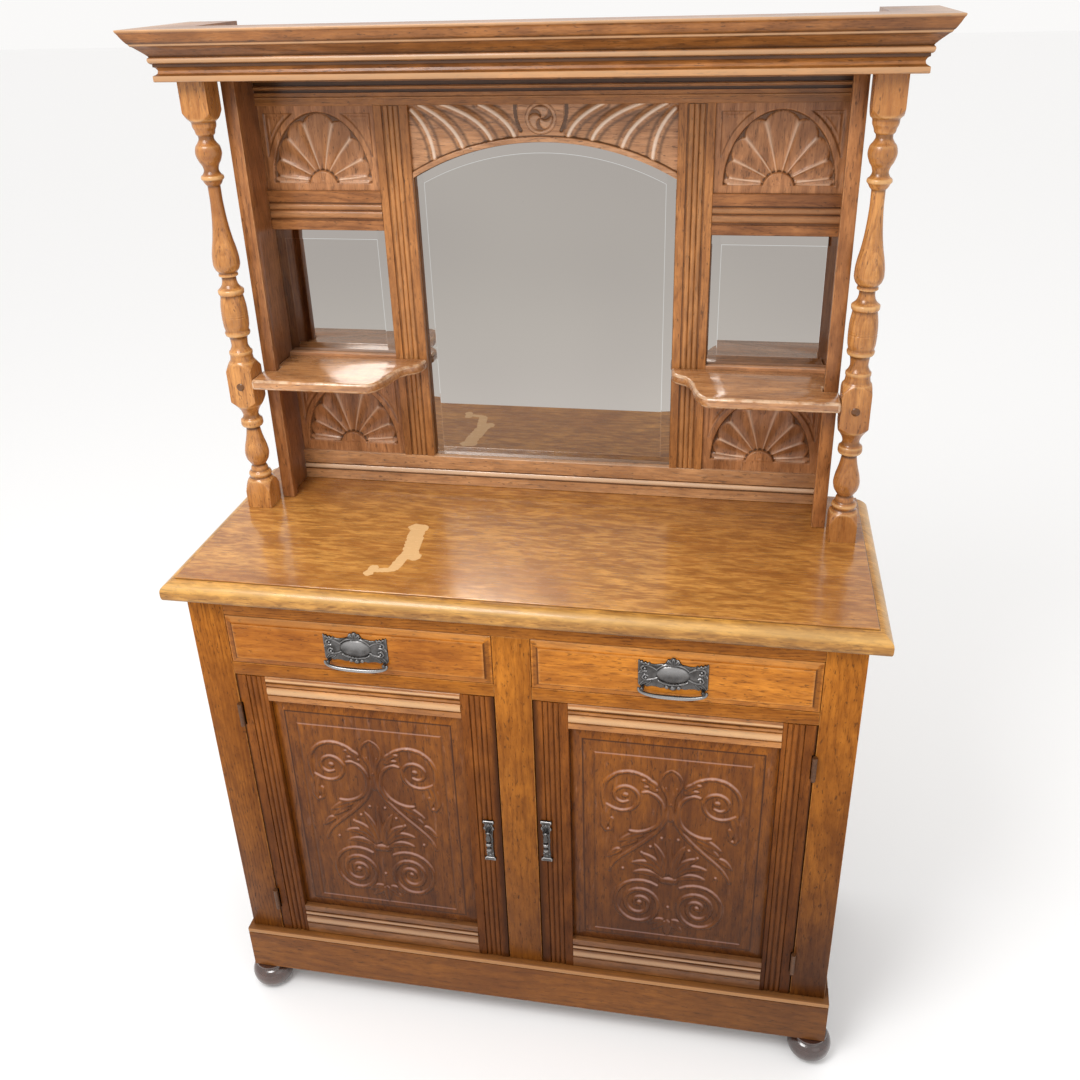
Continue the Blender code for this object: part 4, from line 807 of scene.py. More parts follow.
# The worktop's nosing: share of its thickness from the underside, inset in metres, tone. The tone paints the
# rounded top lighter and the underside darker, and marks dirt in the quirk.
worktop = {
    "shares": (
        (0.000, 0.0030, -0.8), (0.030, 0.0016, -0.5), (0.100, 0.0006, -0.3), (0.200, 0.0000, -0.1),
        (0.420, 0.0000, 0.2), (0.540, 0.0006, 0.4), (0.640, 0.0024, 0.6), (0.730, 0.0054, 0.6),
        (0.810, 0.0096, 0.5), (0.880, 0.0150, 0.3), (0.925, 0.0200, 0.0), (0.930, 0.0212, -0.9),
        (0.940, 0.0218, -0.8), (0.990, 0.0218, 0.2), (1.000, 0.0226, 0.4),
    ),
    "nosing": 0.0220,
    "lap": 0.004,
    "seam": 0.0002,
    "panelEdge": (0.0004, 0.0006, 0.0007),
}


def makeWorktop():
    low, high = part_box("top_board")
    corners = roundFrontAndSides(low, high)
    edge = [(inset, low.z + share * (high.z - low.z), tone) for share, inset, tone in worktop["shares"]]
    lap = worktop["nosing"] + worktop["lap"]
    nosing = edge[:-2] + [(lap, edge[-3][1], 0), (lap, low.z, 0)]
    mitred("worktopNosing", "top_board", nosing, oak("nosing", "x"), corners)
    inner = worktop["nosing"] - worktop["seam"]
    foot, drop, ease = worktop["panelEdge"]
    panel = [(inner, low.z + foot, 0), (inner, high.z - drop, 0.3), (inner + ease, high.z, 0.3)]
    points, tone = swept(panel, corners)
    faces = [(4 * row + k, 4 * row + (k + 1) % 4, 4 * row + 4 + (k + 1) % 4, 4 * row + 4 + k)
             for row in (0, 1) for k in range(4)]
    faces += [(0, 1, 2, 3), (8, 9, 10, 11)]
    addPiece("worktop", meshOf("worktop", points, faces, tone), oak("top", "x", True), "top_board", 40)


makeCornice()
makeWorktop()
print("cornice and worktop moulded")


# Grooved and reeded members

joinery = {"ease": 0.0009, "lip": 0.0004, "seam": 0.0003, "notch": 1e-6}


def grooved(low, high, grooves=(), ease=joinery["ease"]):
    # A profile across a board: eased edges, and square grooves of (middle, width, depth). Its tone lightens
    # the edges and darkens the grooves' floors: rubbing and wax, with painted highlight and painted shade.
    profile = [(low, -ease, 0.4), (low + ease, 0, 0.25)]
    lip = joinery["lip"]
    for middle, width, depth in grooves:
        profile += [(middle - width / 2, 0, 0.2), (middle - width / 2 + lip, -depth, -0.8),
                    (middle + width / 2 - lip, -depth, -0.8), (middle + width / 2, 0, 0.2)]
    return profile + [(high - ease, 0, 0.25), (high, -ease, 0.4)]


def member(name, node, along, span, profile, face, rear, finish, notches=(), depth=0.010, wax=1.0):
    # A board in the plane of the front: profile runs across it, span along it.
    places, heights, tones = np.array(profile, float).T
    tones = tones * wax
    lip, slack = joinery["lip"], joinery["notch"]
    stops = [span[0]] + [z for notch in notches for z in (notch[0] - lip, notch[0], notch[1], notch[1] + lip)]
    stops = np.array(stops + [span[1]])
    if along == "x":
        across, up = np.meshgrid(stops, places)
        high, tone = (np.repeat(row[:, None], len(stops), 1) for row in (heights, tones))
    else:
        across, up = np.meshgrid(places, stops)
        high, tone = (np.repeat(row[None, :], len(stops), 0) for row in (heights, tones))
        for z0, z1, x0, x1 in notches:
            inside = (up >= z0 - slack) & (up <= z1 + slack) & (across >= x0) & (across <= x1)
            high = np.where(inside, -depth, high)
    reliefPiece(node, across, up, face, high, rear, finish, tone, name, 30)


def reliefPiece(node, across, up, face, high, rear, finish, tone, name=None, smoothAngle=75):
    # A closed board whose front stands high in front of the plane at face, point by point.
    rows, columns = across.shape
    points = np.stack([across, face - high, up], axis=-1).reshape(-1, 3)
    index = np.arange(rows * columns).reshape(rows, columns)
    quads = np.stack([index[:-1, :-1], index[:-1, 1:], index[1:, 1:], index[1:, :-1]], axis=-1).reshape(-1, 4)
    rim = np.concatenate([index[0, :], index[1:, -1], index[-1, -2::-1], index[-2:0:-1, 0]])
    behind = len(points) + np.arange(len(rim))
    rimPoints = points[rim].copy()
    rimPoints[:, 1] = rear
    count = len(rim)
    faces = [tuple(int(i) for i in quad) for quad in quads]
    faces += [(int(rim[(i + 1) % count]), int(rim[i]), int(behind[i]), int(behind[(i + 1) % count]))
              for i in range(count)]
    faces.append(tuple(int(i) for i in behind[::-1]))
    values = np.concatenate([np.asarray(tone).reshape(-1), np.zeros(count)])
    name = name or camel(node)
    data = meshOf(name, np.concatenate([points, rimPoints]), faces, values)
    addPiece(name, data, finish, node, smoothAngle)


def reeds(name, node, along, span, middles, radius, face, finish, crest, sunk, clear=0.0005, wax=0.8):
    # Each reed sits in its channel, sunk deep, and its crest stands a little proud of the face.
    start, length = span[0] + clear, span[1] - span[0] - 2 * clear
    pitch = middles[1] - middles[0] if len(middles) > 1 else radius
    data = grown(trees["reeds"], name, {"Length": length, "Pitch": pitch, "Count": len(middles),
                                        "Radius": radius, "Finish": finish})
    rise, floor = crest + sunk, face + sunk
    data.transform(Matrix.Diagonal((1, rise / radius, 1, 1)))
    if along == "x":
        data.transform(Matrix.Translation((start, floor, middles[0])))
    else:
        stand = Matrix(((0, 0, 1, 0), (0, 1, 0, 0), (1, 0, 0, 0), (0, 0, 0, 1)))
        data.transform(Matrix.Translation((middles[0], floor, start)) @ stand)
        data.flip_normals()
    # The reeds are lighter towards their crests and darker where sunk: painted highlight and painted shade.
    markPoints(data, "tone", np.clip((floor - placesOf(data)[:, 1]) / rise, -0.6, 1) * wax)
    addPiece(name, data, finish, node, 40)


# Reeds have middles and a radius, and their crests stand proud while the axis is sunk.
back = {
    "bottomGrooves": ((1.0345, 0.0030, 0.0022), (1.0467, 0.0026, 0.0026)),
    "bottomReed": ((1.0408,), 0.0052),
    "bottomCrest": (0.0014, 0.0010),
    "topGrooves": ((1.7583, 0.0050, 0.0028), (1.7705, 0.0070, 0.0034)),
    "topReeds": ((1.7475, 1.7645), 0.0020),
    "topCrest": (0.0015, 0.0005),
    "channel": 0.0028,
    "channelWidth": 0.0330,
    "muntin": (0.232, 0.293),
    "muntinReeds": (0.2535, 0.2625, 0.2715),
    "muntinReed": 0.0044,
    "muntinCrest": 0.0004,
    "railChannel": 1.5535,
    "railReeds": ((1.5475, 0.0068), (1.5612, 0.0054)),
    "railCrest": 0.0006,
}


def makeBackFrame():
    node = "back_frame"
    low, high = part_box(node)
    face, rear, seam = low.y, high.y, joinery["seam"]
    lowerTop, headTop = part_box("centre_mirror")[0].z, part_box("head_panel")[1].z
    wide, tall = (low.x, high.x), (lowerTop, headTop)
    level, upright, rail = oak("carved", "x"), oak("muntin", "z"), oak("ledge", "x")
    shade, beam = oak("cornice", "x"), oak("upright", "x")

    member("backBottomRail", node, "x", wide, grooved(low.z, lowerTop, back["bottomGrooves"]),
           face, rear, rail)
    reeds("backBottomReed", node, "x", wide, *back["bottomReed"], face, rail, *back["bottomCrest"])
    # The top rail takes the darker cornice oak as painted shade under the cornice.
    member("backTopRail", node, "x", wide, grooved(headTop, high.z, back["topGrooves"]),
           face, rear, shade)
    reeds("backTopReeds", node, "x", wide, *back["topReeds"], face, shade, *back["topCrest"], wax=0.45)
    for side, label in sides:
        upperShell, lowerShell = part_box(f"{label}_upper_shell"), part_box(f"{label}_lower_shell")
        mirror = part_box(f"{label}_mirror")
        inner, outer = (side * x for x in back["muntin"])
        x0, x1 = sorted((inner, outer))
        channel = (((inner + outer) / 2, back["channelWidth"], back["channel"]),)
        member(f"{label}Muntin", node, "z", tall, grooved(x0, x1, channel), face, rear, upright, wax=0.5)
        reeds(f"{label}MuntinReeds", node, "z", tall, sorted(side * x for x in back["muntinReeds"]),
              back["muntinReed"], face, upright, back["muntinCrest"], back["channel"], 0.001, 0.35)
        span = sorted((outer, side * high.x))
        z0, z1 = mirror[1].z + seam, upperShell[0].z - seam
        channel = ((back["railChannel"], back["channelWidth"], back["channel"]),)
        member(f"{label}ReededRail", node, "x", span, grooved(z0, z1, channel), face, rear, beam, wax=0.6)
        for count, (z, radius) in enumerate(back["railReeds"]):
            reeds(f"{label}RailReed{count + 1}", node, "x", span, (z,), radius, face, beam,
                  back["railCrest"], back["channel"], wax=0.55)
        member(f"{label}ShelfRail", node, "x", span, grooved(lowerShell[1].z + seam, mirror[0].z - seam),
               face, rear, level)


plinth = {
    "sunk": 0.0010,
    "ease": 0.0016,
    "quirk": (0.1545, 0.0020, 0.0014),
    "bead": ((0.1602,), 0.0052),
    "beadCrest": (0.0009, 0.0006),
    "clear": 0.0008,
}


def makePlinth():
    low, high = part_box("plinth_front")
    face, span, finish = low.y + plinth["sunk"], (low.x, high.x), oak("drawer", "x")
    profile = grooved(low.z, high.z, (plinth["quirk"],), plinth["ease"])
    member("plinthFront", "plinth_front", "x", span, profile, face, high.y, finish)
    reeds("plinthBead", "plinth_front", "x", span, *plinth["bead"], face, finish, *plinth["beadCrest"],
          plinth["clear"], 1.6)


doors = {
    "channel": 0.0026,
    "channelWidth": 0.0300,
    "lockReeds": (0.0555, 0.0650, 0.0745),
    "hingeReeds": (0.4690, 0.4790, 0.4890),
    "reed": 0.0042,
    "seat": 0.0003,
    "hingeClear": 0.0006,
    "notchBack": 0.0012,
    "topGrooves": ((0.7700, 0.0024, 0.0022), (0.7888, 0.0026, 0.0026), (0.7970, 0.0045, 0.0030)),
    "bottomGrooves": ((0.1925, 0.0024, 0.0020), (0.2145, 0.0032, 0.0028), (0.2262, 0.0036, 0.0028)),
    "railReeds": ((0.8030, 0.0030, 0.0012), (0.7793, 0.0082, 0.0022),
                  (0.2204, 0.0036, 0.0012), (0.2025, 0.0078, 0.0022)),
    "railSunk": 0.0012,
    "railClear": 0.0006,
    "edgeShade": -2.2,
    "stileWax": 0.36,
    "reedWaxAndShade": 0.32,
    "railWax": 0.7,
}


def makeDoorFrame(side, label):
    node = f"{label}_door_frame"
    low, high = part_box(node)
    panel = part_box(f"{label}_door_panel")
    panelIn, panelOut = sorted((abs(panel[0].x), abs(panel[1].x)))
    doorIn, doorOut = sorted((abs(low.x), abs(high.x)))
    face, rear, seat, clear = low.y, high.y, doors["seat"], doors["hingeClear"]
    upright, rail = oak("door", "z"), oak("rail", "x")
    hinges = [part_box(f"{label}_{end}_hinge") for end in ("lower", "upper")]
    edge = side * (min(abs(hinges[0][0].x), abs(hinges[0][1].x)) - clear)
    cut = sorted((edge, side * (doorOut + clear)))
    notches = [(h0.z - clear, h1.z + clear, *cut) for h0, h1 in hinges]
    stiles = (("LockStile", (doorIn, panelIn - seat), doors["lockReeds"], ()),
              ("HingeStile", (panelOut + seat, doorOut), doors["hingeReeds"], notches))
    for part, span, middles, gaps in stiles:
        x0, x1 = sorted(side * x for x in span)
        ordered = sorted(side * x for x in middles)
        profile = grooved(x0, x1, ((ordered[1], doors["channelWidth"], doors["channel"]),))
        # Painted shade down the door's outer edges, where the gap beside the case is dark.
        outer = side * (doorIn if part == "LockStile" else doorOut)
        profile = [(x, out, doors["edgeShade"] if abs(x - outer) < 0.0015 else t) for x, out, t in profile]
        if gaps:
            profile = sorted(profile + [(edge - side * joinery["lip"], 0, 0), (edge, 0, 0)])
        member(f"{label}{part}", node, "z", (low.z, high.z), profile, face, rear, upright, gaps,
               rear - face - doors["notchBack"], doors["stileWax"])
        reeds(f"{label}{part}Reeds", node, "z", (low.z, high.z), ordered, doors["reed"], face, upright,
              0.0, doors["channel"], 0.001, doors["reedWaxAndShade"])
    span = sorted((side * (panelIn - seat), side * (panelOut + seat)))
    for part, foot, top, grooves in (("DoorTopRail", panel[1].z + seat, high.z, doors["topGrooves"]),
                                     ("DoorBottomRail", low.z, panel[0].z - seat, doors["bottomGrooves"])):
        member(f"{label}{part}", node, "x", span, grooved(foot, top, grooves), face, rear, rail,
               wax=doors["railWax"])
    for count, (z, radius, crest) in enumerate(doors["railReeds"]):
        reeds(f"{label}DoorRailReed{count + 1}", node, "x", span, (z,), radius, face, rail, crest,
              doors["railSunk"], doors["railClear"])


# Drawer fronts: a raised field with a sloping margin, and a shoulder where they meet
drawers = {
    "margin": 0.0130,
    "slopeOut": 0.0032,
    "fieldOut": 0.0055,
    "shoulder": 0.0006,
    "ease": 0.0007,
    # The tones paint light on the arrises and margin, and a shadow line at the shoulder.
    "tones": (0.3, 0.2, 0.0, 0.0, -0.25, -0.95, 0.35, 0.35, 0.0),
    "sideShade": 0.42,
}


def insetOf(across, up, low, high):
    # How far each point lies inside the rectangle from low to high.
    return np.minimum.reduce([across - low.x, high.x - across, up - low.z, high.z - up])


def makeDrawerFronts():
    margin, shoulder, ease = drawers["margin"], drawers["shoulder"], drawers["ease"]
    slope, field = drawers["slopeOut"], drawers["fieldOut"]
    insets = np.array((0, ease, 0.004, 0.0085, margin - shoulder - 0.0016, margin - shoulder, margin,
                       margin + ease, margin + 0.006))
    rise = np.array((-ease, 0, 0.0011, 0.0023, slope - 0.0001, slope, field - ease * 0.6, field, field))
    for _, label in sides:
        node = f"{label}_drawer_front"
        low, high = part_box(node)
        across, up = np.meshgrid(np.concatenate([low.x + insets, (high.x - insets)[::-1]]),
                                 np.concatenate([low.z + insets, (high.z - insets)[::-1]]))
        inset = insetOf(across, up, low, high)
        shade = np.interp(inset, insets, drawers["tones"])
        # The margin over the field catches the light, and its shoulder there hardly shows.
        shade = np.where((high.z - up < inset + 0.0002) & (inset < margin), 0.5 * shade + 0.4, shade)
        beside = np.minimum(across - low.x, high.x - across) < inset + 0.0002
        slopes = (inset > 0.001) & (inset < margin - 0.0004)
        shade = np.where(beside & slopes, shade - drawers["sideShade"], shade)
        reliefPiece(node, across, up, front, np.interp(inset, insets, rise), high.y, oak("drawer", "x"),
                    shade, smoothAngle=25)


makeBackFrame()
makePlinth()
for side, label in sides:
    makeDoorFrame(side, label)
makeDrawerFronts()
print("back, doors and drawers framed")


# Turned pieces

# Shares of the stretch's height and of the block's half width, read from the photographed column.
column = {
    "block": 0.048,
    "baseBlock": 0.032,
    "lowerTurning": 0.187,
    "middleBlock": 0.058,
    "upperTurning": 0.452,
    "sidesRound": 96,
    "rowStep": 0.0014,
    "cornerShare": 1.402,
    "endShare": 1.30,
    "arris": 0.0016,
    "rings": (0.378, 0.382, 0.386),
    "ringCut": 0.0007,
    "ringWidth": 0.0009,
    "plugRise": 0.2490,
    "plug": ((0.0072, -0.0002), (0.0072, 0.0007), (0.0058, 0.0018), (0.0018, 0.0023)),
    "plugTone": -0.9,
    "plugReach": (0.0006, 0.008),
    "lowerShares": (
        (0.00, 1.44), (0.05, 1.29), (0.10, 1.12), (0.13, 0.94), (0.15, 0.84), (0.18, 0.90), (0.20, 0.85),
        (0.22, 0.69), (0.25, 0.65), (0.28, 0.56), (0.31, 0.69), (0.35, 0.86), (0.41, 0.94), (0.48, 0.87),
        (0.56, 0.71), (0.64, 0.58), (0.70, 0.53), (0.71, 0.77), (0.74, 0.86), (0.78, 0.83), (0.80, 0.67),
        (0.83, 0.60), (0.87, 0.67), (0.91, 0.84), (0.95, 1.08), (1.00, 1.44),
    ),
    "upperShares": (
        (0.000, 1.44), (0.018, 1.20), (0.034, 1.00), (0.044, 0.88), (0.064, 0.84), (0.067, 0.88),
        (0.077, 0.88), (0.084, 0.77), (0.106, 0.62), (0.128, 0.65), (0.142, 0.73), (0.147, 0.90),
        (0.159, 0.94), (0.166, 0.88), (0.188, 0.95), (0.228, 0.98), (0.265, 0.95), (0.292, 0.88),
        (0.310, 0.84), (0.316, 0.94), (0.330, 0.96), (0.336, 0.85), (0.343, 0.71), (0.356, 0.58),
        (0.372, 0.53), (0.383, 0.54), (0.387, 0.71), (0.396, 0.70), (0.398, 0.67), (0.414, 0.87),
        (0.436, 0.98), (0.458, 0.97), (0.487, 0.90), (0.531, 0.73), (0.580, 0.59), (0.631, 0.50),
        (0.686, 0.45), (0.730, 0.45), (0.739, 0.58), (0.752, 0.71), (0.759, 0.81), (0.768, 0.79),
        (0.774, 0.65), (0.790, 0.52), (0.805, 0.58), (0.823, 0.77), (0.852, 0.92), (0.874, 0.85),
        (0.889, 0.65), (0.903, 0.53), (0.912, 0.54), (0.918, 0.65), (0.931, 0.71), (0.947, 0.83),
        (0.960, 0.85), (0.973, 1.08), (1.000, 1.44),
    ),
}


def eased(shares):
    # A smooth curve through the profile's points that never overshoots them.
    place = np.array([share for share, _ in shares])
    value = np.array([radius for _, radius in shares])
    width, rise = np.diff(place), np.diff(value)
    slant = rise / width
    slope = np.zeros(len(value))
    same = slant[:-1] * slant[1:] > 0
    slope[1:-1][same] = 2 * slant[:-1][same] * slant[1:][same] / (slant[:-1][same] + slant[1:][same])
    slope[0], slope[-1] = slant[0], slant[-1]

    def at(x):
        i = np.clip(np.searchsorted(place, x) - 1, 0, len(place) - 2)
        t = np.clip((x - place[i]) / width[i], 0, 1)
        smooth = t * t * (3 - 2 * t)
        lean = t * (1 - t) * ((1 - t) * slope[i] - t * slope[i + 1]) * width[i]
        return value[i] + smooth * rise[i] + lean
    return at


def toneByShape(radii, span=5, scale=0.0024):
    # Hollows of a turning are darkened and its beads lightened: wax and rubbing, and on the oak also painted
    # shade and painted highlight.
    radii = np.array(radii)
    padded = np.pad(radii, span, mode="edge")
    around = np.array([padded[i:i + 2 * span + 1].mean() for i in range(len(radii))])
    return np.clip((radii - around) / scale, -1.0, 0.7)


def makeColumns():
    half = column["block"] / 2
    low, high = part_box("left_column")
    lowerFoot = low.z + column["baseBlock"]
    middleFoot = lowerFoot + column["lowerTurning"]
    upperFoot = middleFoot + column["middleBlock"]
    upperHead = upperFoot + column["upperTurning"]
    corner, end = half * column["cornerShare"], half * column["endShare"]
    line = [(end, low.z), (corner, low.z + column["arris"])]
    for foot, head, shares in ((lowerFoot, middleFoot, "lowerShares"), (upperFoot, upperHead, "upperShares")):
        profile = eased(column[shares])
        count = int((head - foot) / column["rowStep"])
        for i in range(count + 1):
            z = foot + (head - foot) * i / count
            radius = half * float(profile(i / count))
            for ring in column["rings"]:
                radius -= column["ringCut"] * max(0.0, 1 - abs(z - low.z - ring) / column["ringWidth"])
            line.append((min(radius, corner), z))
    line += [(corner, high.z - column["arris"]), (end, high.z)]
    post = turned("columnStock", line, column["sidesRound"], half)
    plug = turned("plugStock", column["plug"], 32)
    shape = toneByShape([min(radius, half) for radius, _ in line])
    plugOut, plugHalf = column["plugReach"]
    for _, label in sides:
        node = f"{label}_column"
        middle = (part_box(node)[0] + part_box(node)[1]) / 2
        face, plugHeight = middle.y - half, low.z + column["plugRise"]
        forward = Matrix.Translation((middle.x, face, plugHeight)) @ Matrix.Rotation(math.pi / 2, 4, "X")
        whole = joined(camel(node), [(post, Matrix.Translation((middle.x, middle.y, 0))), (plug, forward)])
        spots = placesOf(whole)
        tone = np.interp(spots[:, 2], [z for _, z in line], shape)
        atPlug = (spots[:, 1] < face + plugOut) & (np.abs(spots[:, 2] - plugHeight) < plugHalf)
        tone[atPlug] = column["plugTone"]
        markPoints(whole, "tone", tone)
        addPiece(camel(node), whole, oak("column", "z"), node, 38)


feet = {
    "shares": (
        (0.00, 0.60), (0.04, 0.68), (0.18, 0.85), (0.36, 0.975), (0.52, 1.00), (0.68, 0.955), (0.80, 0.84),
        (0.85, 0.735), (0.885, 0.70), (0.905, 0.74), (0.93, 0.78), (0.965, 0.785), (1.00, 0.77),
    ),
    "steps": 60,
    "sidesRound": 64,
}


def makeFeet():
    profile, steps = eased(feet["shares"]), feet["steps"]
    for _, label in sides:
        for end in ("front", "back"):
            node = f"{label}_{end}_foot"
            low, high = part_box(node)
            middle, radius = (low + high) / 2, (high.x - low.x) / 2
            line = [(radius * float(profile(i / steps)), low.z + (high.z - low.z) * i / steps)
                    for i in range(steps + 1)]
            data = turned(camel(node), line, feet["sidesRound"])
            data.transform(Matrix.Translation((middle.x, middle.y, 0)))
            addPiece(camel(node), data, oak("foot", "z"), node, 40)


makeColumns()
makeFeet()
print("columns and feet turned")


# Carved panels

def smoothLine(points, steps=12):
    # An open curve that passes through the points.
    points = [np.array(point, float) for point in points]
    ends = [2 * points[0] - points[1]] + points + [2 * points[-1] - points[-2]]
    line = []
    for a, b, c, d in zip(ends, ends[1:], ends[2:], ends[3:]):
        for i in range(steps):
            t = i / steps
            line.append(0.5 * (2 * b + (c - a) * t + (2 * a - 5 * b + 4 * c - d) * t * t
                               + (3 * b - a - 3 * c + d) * t ** 3))
    return line + [points[-1]]


def spiralLine(middle, reach, turns, start, way, inner=0.12, steps=26):
    # From the outside in: reach is the outer radius, start its angle, way which way it winds.
    count = int(turns * steps)
    line = []
    for i in range(count + 1):
        share = i / count
        radius = reach * (1 - (1 - inner) * share ** 0.85)
        angle = start + way * turns * 2 * math.pi * share
        line.append(np.array((middle[0] + radius * math.cos(angle), middle[1] + radius * math.sin(angle))))
    return line


def bentLine(a, b, c, steps=18):
    a, b, c = (np.array(point, float) for point in (a, b, c))
    return [(1 - t) ** 2 * a + 2 * t * (1 - t) * b + t * t * c for t in np.linspace(0, 1, steps)]


def nearest(across, up, line):
    gap = np.full(across.shape, 9.0)
    share = np.zeros(across.shape)
    last = len(line) - 1
    for i in range(last):
        a, step = line[i], line[i + 1] - line[i]
        t = np.clip(((across - a[0]) * step[0] + (up - a[1]) * step[1]) / (step @ step), 0, 1)
        d = np.hypot(across - a[0] - t * step[0], up - a[1] - t * step[1])
        closer = d < gap
        gap = np.where(closer, d, gap)
        share = np.where(closer, (i + t) / last, share)
    return gap, share


class Carving:
    # Height over the panel's ground, built up stroke by stroke.
    def __init__(self, across, up, cutDepth=0.0005, cutWidth=0.0018):
        self.across, self.up = across, up
        self.cutDepth, self.cutWidth = cutDepth, cutWidth
        self.high = np.zeros(across.shape)
        self.cut = np.zeros(across.shape)

    def outline(self, edge):
        cut = self.cutDepth * np.exp(-(np.maximum(edge, 0) / self.cutWidth) ** 2)
        self.cut = np.maximum(self.cut, cut)

    def rib(self, line, width, rise, taper=0.45):
        gap, share = nearest(self.across, self.up, line)
        wide = width * (taper + (1 - taper) * np.sin(np.pi * np.clip(share, 0.0, 1.0)) ** 0.5)
        body = rise * np.clip(1 - (gap / wide) ** 2, 0, 1) ** 0.6
        self.high = np.maximum(self.high, body)
        self.outline(gap - wide)

    def leaf(self, line, width, rise, vein=0.45, full=0.6):
        gap, share = nearest(self.across, self.up, line)
        wide = width * np.sin(np.pi * np.clip(share, 0.0, 1.0) ** full) ** 0.7 + 0.0002
        t = np.clip(gap / wide, 0, 1)
        body = rise * (1 - t ** 4) * (1 - vein * np.exp(-(t / 0.35) ** 2))
        self.high = np.maximum(self.high, np.where(gap < wide, body, 0))
        self.outline(gap - wide)

    def bead(self, middle, radius, rise, dot=0.0):
        gap = np.hypot(self.across - middle[0], self.up - middle[1])
        body = rise * np.sqrt(np.clip(1 - (gap / radius) ** 2, 0, 1))
        body -= dot * np.exp(-(gap / (radius * 0.35)) ** 2)
        self.high = np.maximum(self.high, np.where(gap < radius, body, 0))
        self.outline(gap - radius)

    def height(self):
        return self.high - np.where(self.high > 0, 0, self.cut)


def softenGrid(values, rounds):
    for _ in range(rounds):
        padded = np.pad(values, 1, mode="edge")
        around = padded[:-2, 1:-1] + padded[2:, 1:-1] + padded[1:-1, :-2] + padded[1:-1, 2:]
        values = (around + 4 * values) / 8
    return values


def gridOver(x, z, step):
    columns = int(round((x[1] - x[0]) / step)) + 1
    rows = int(round((z[1] - z[0]) / step)) + 1
    return np.meshgrid(np.linspace(*x, columns), np.linspace(*z, rows))


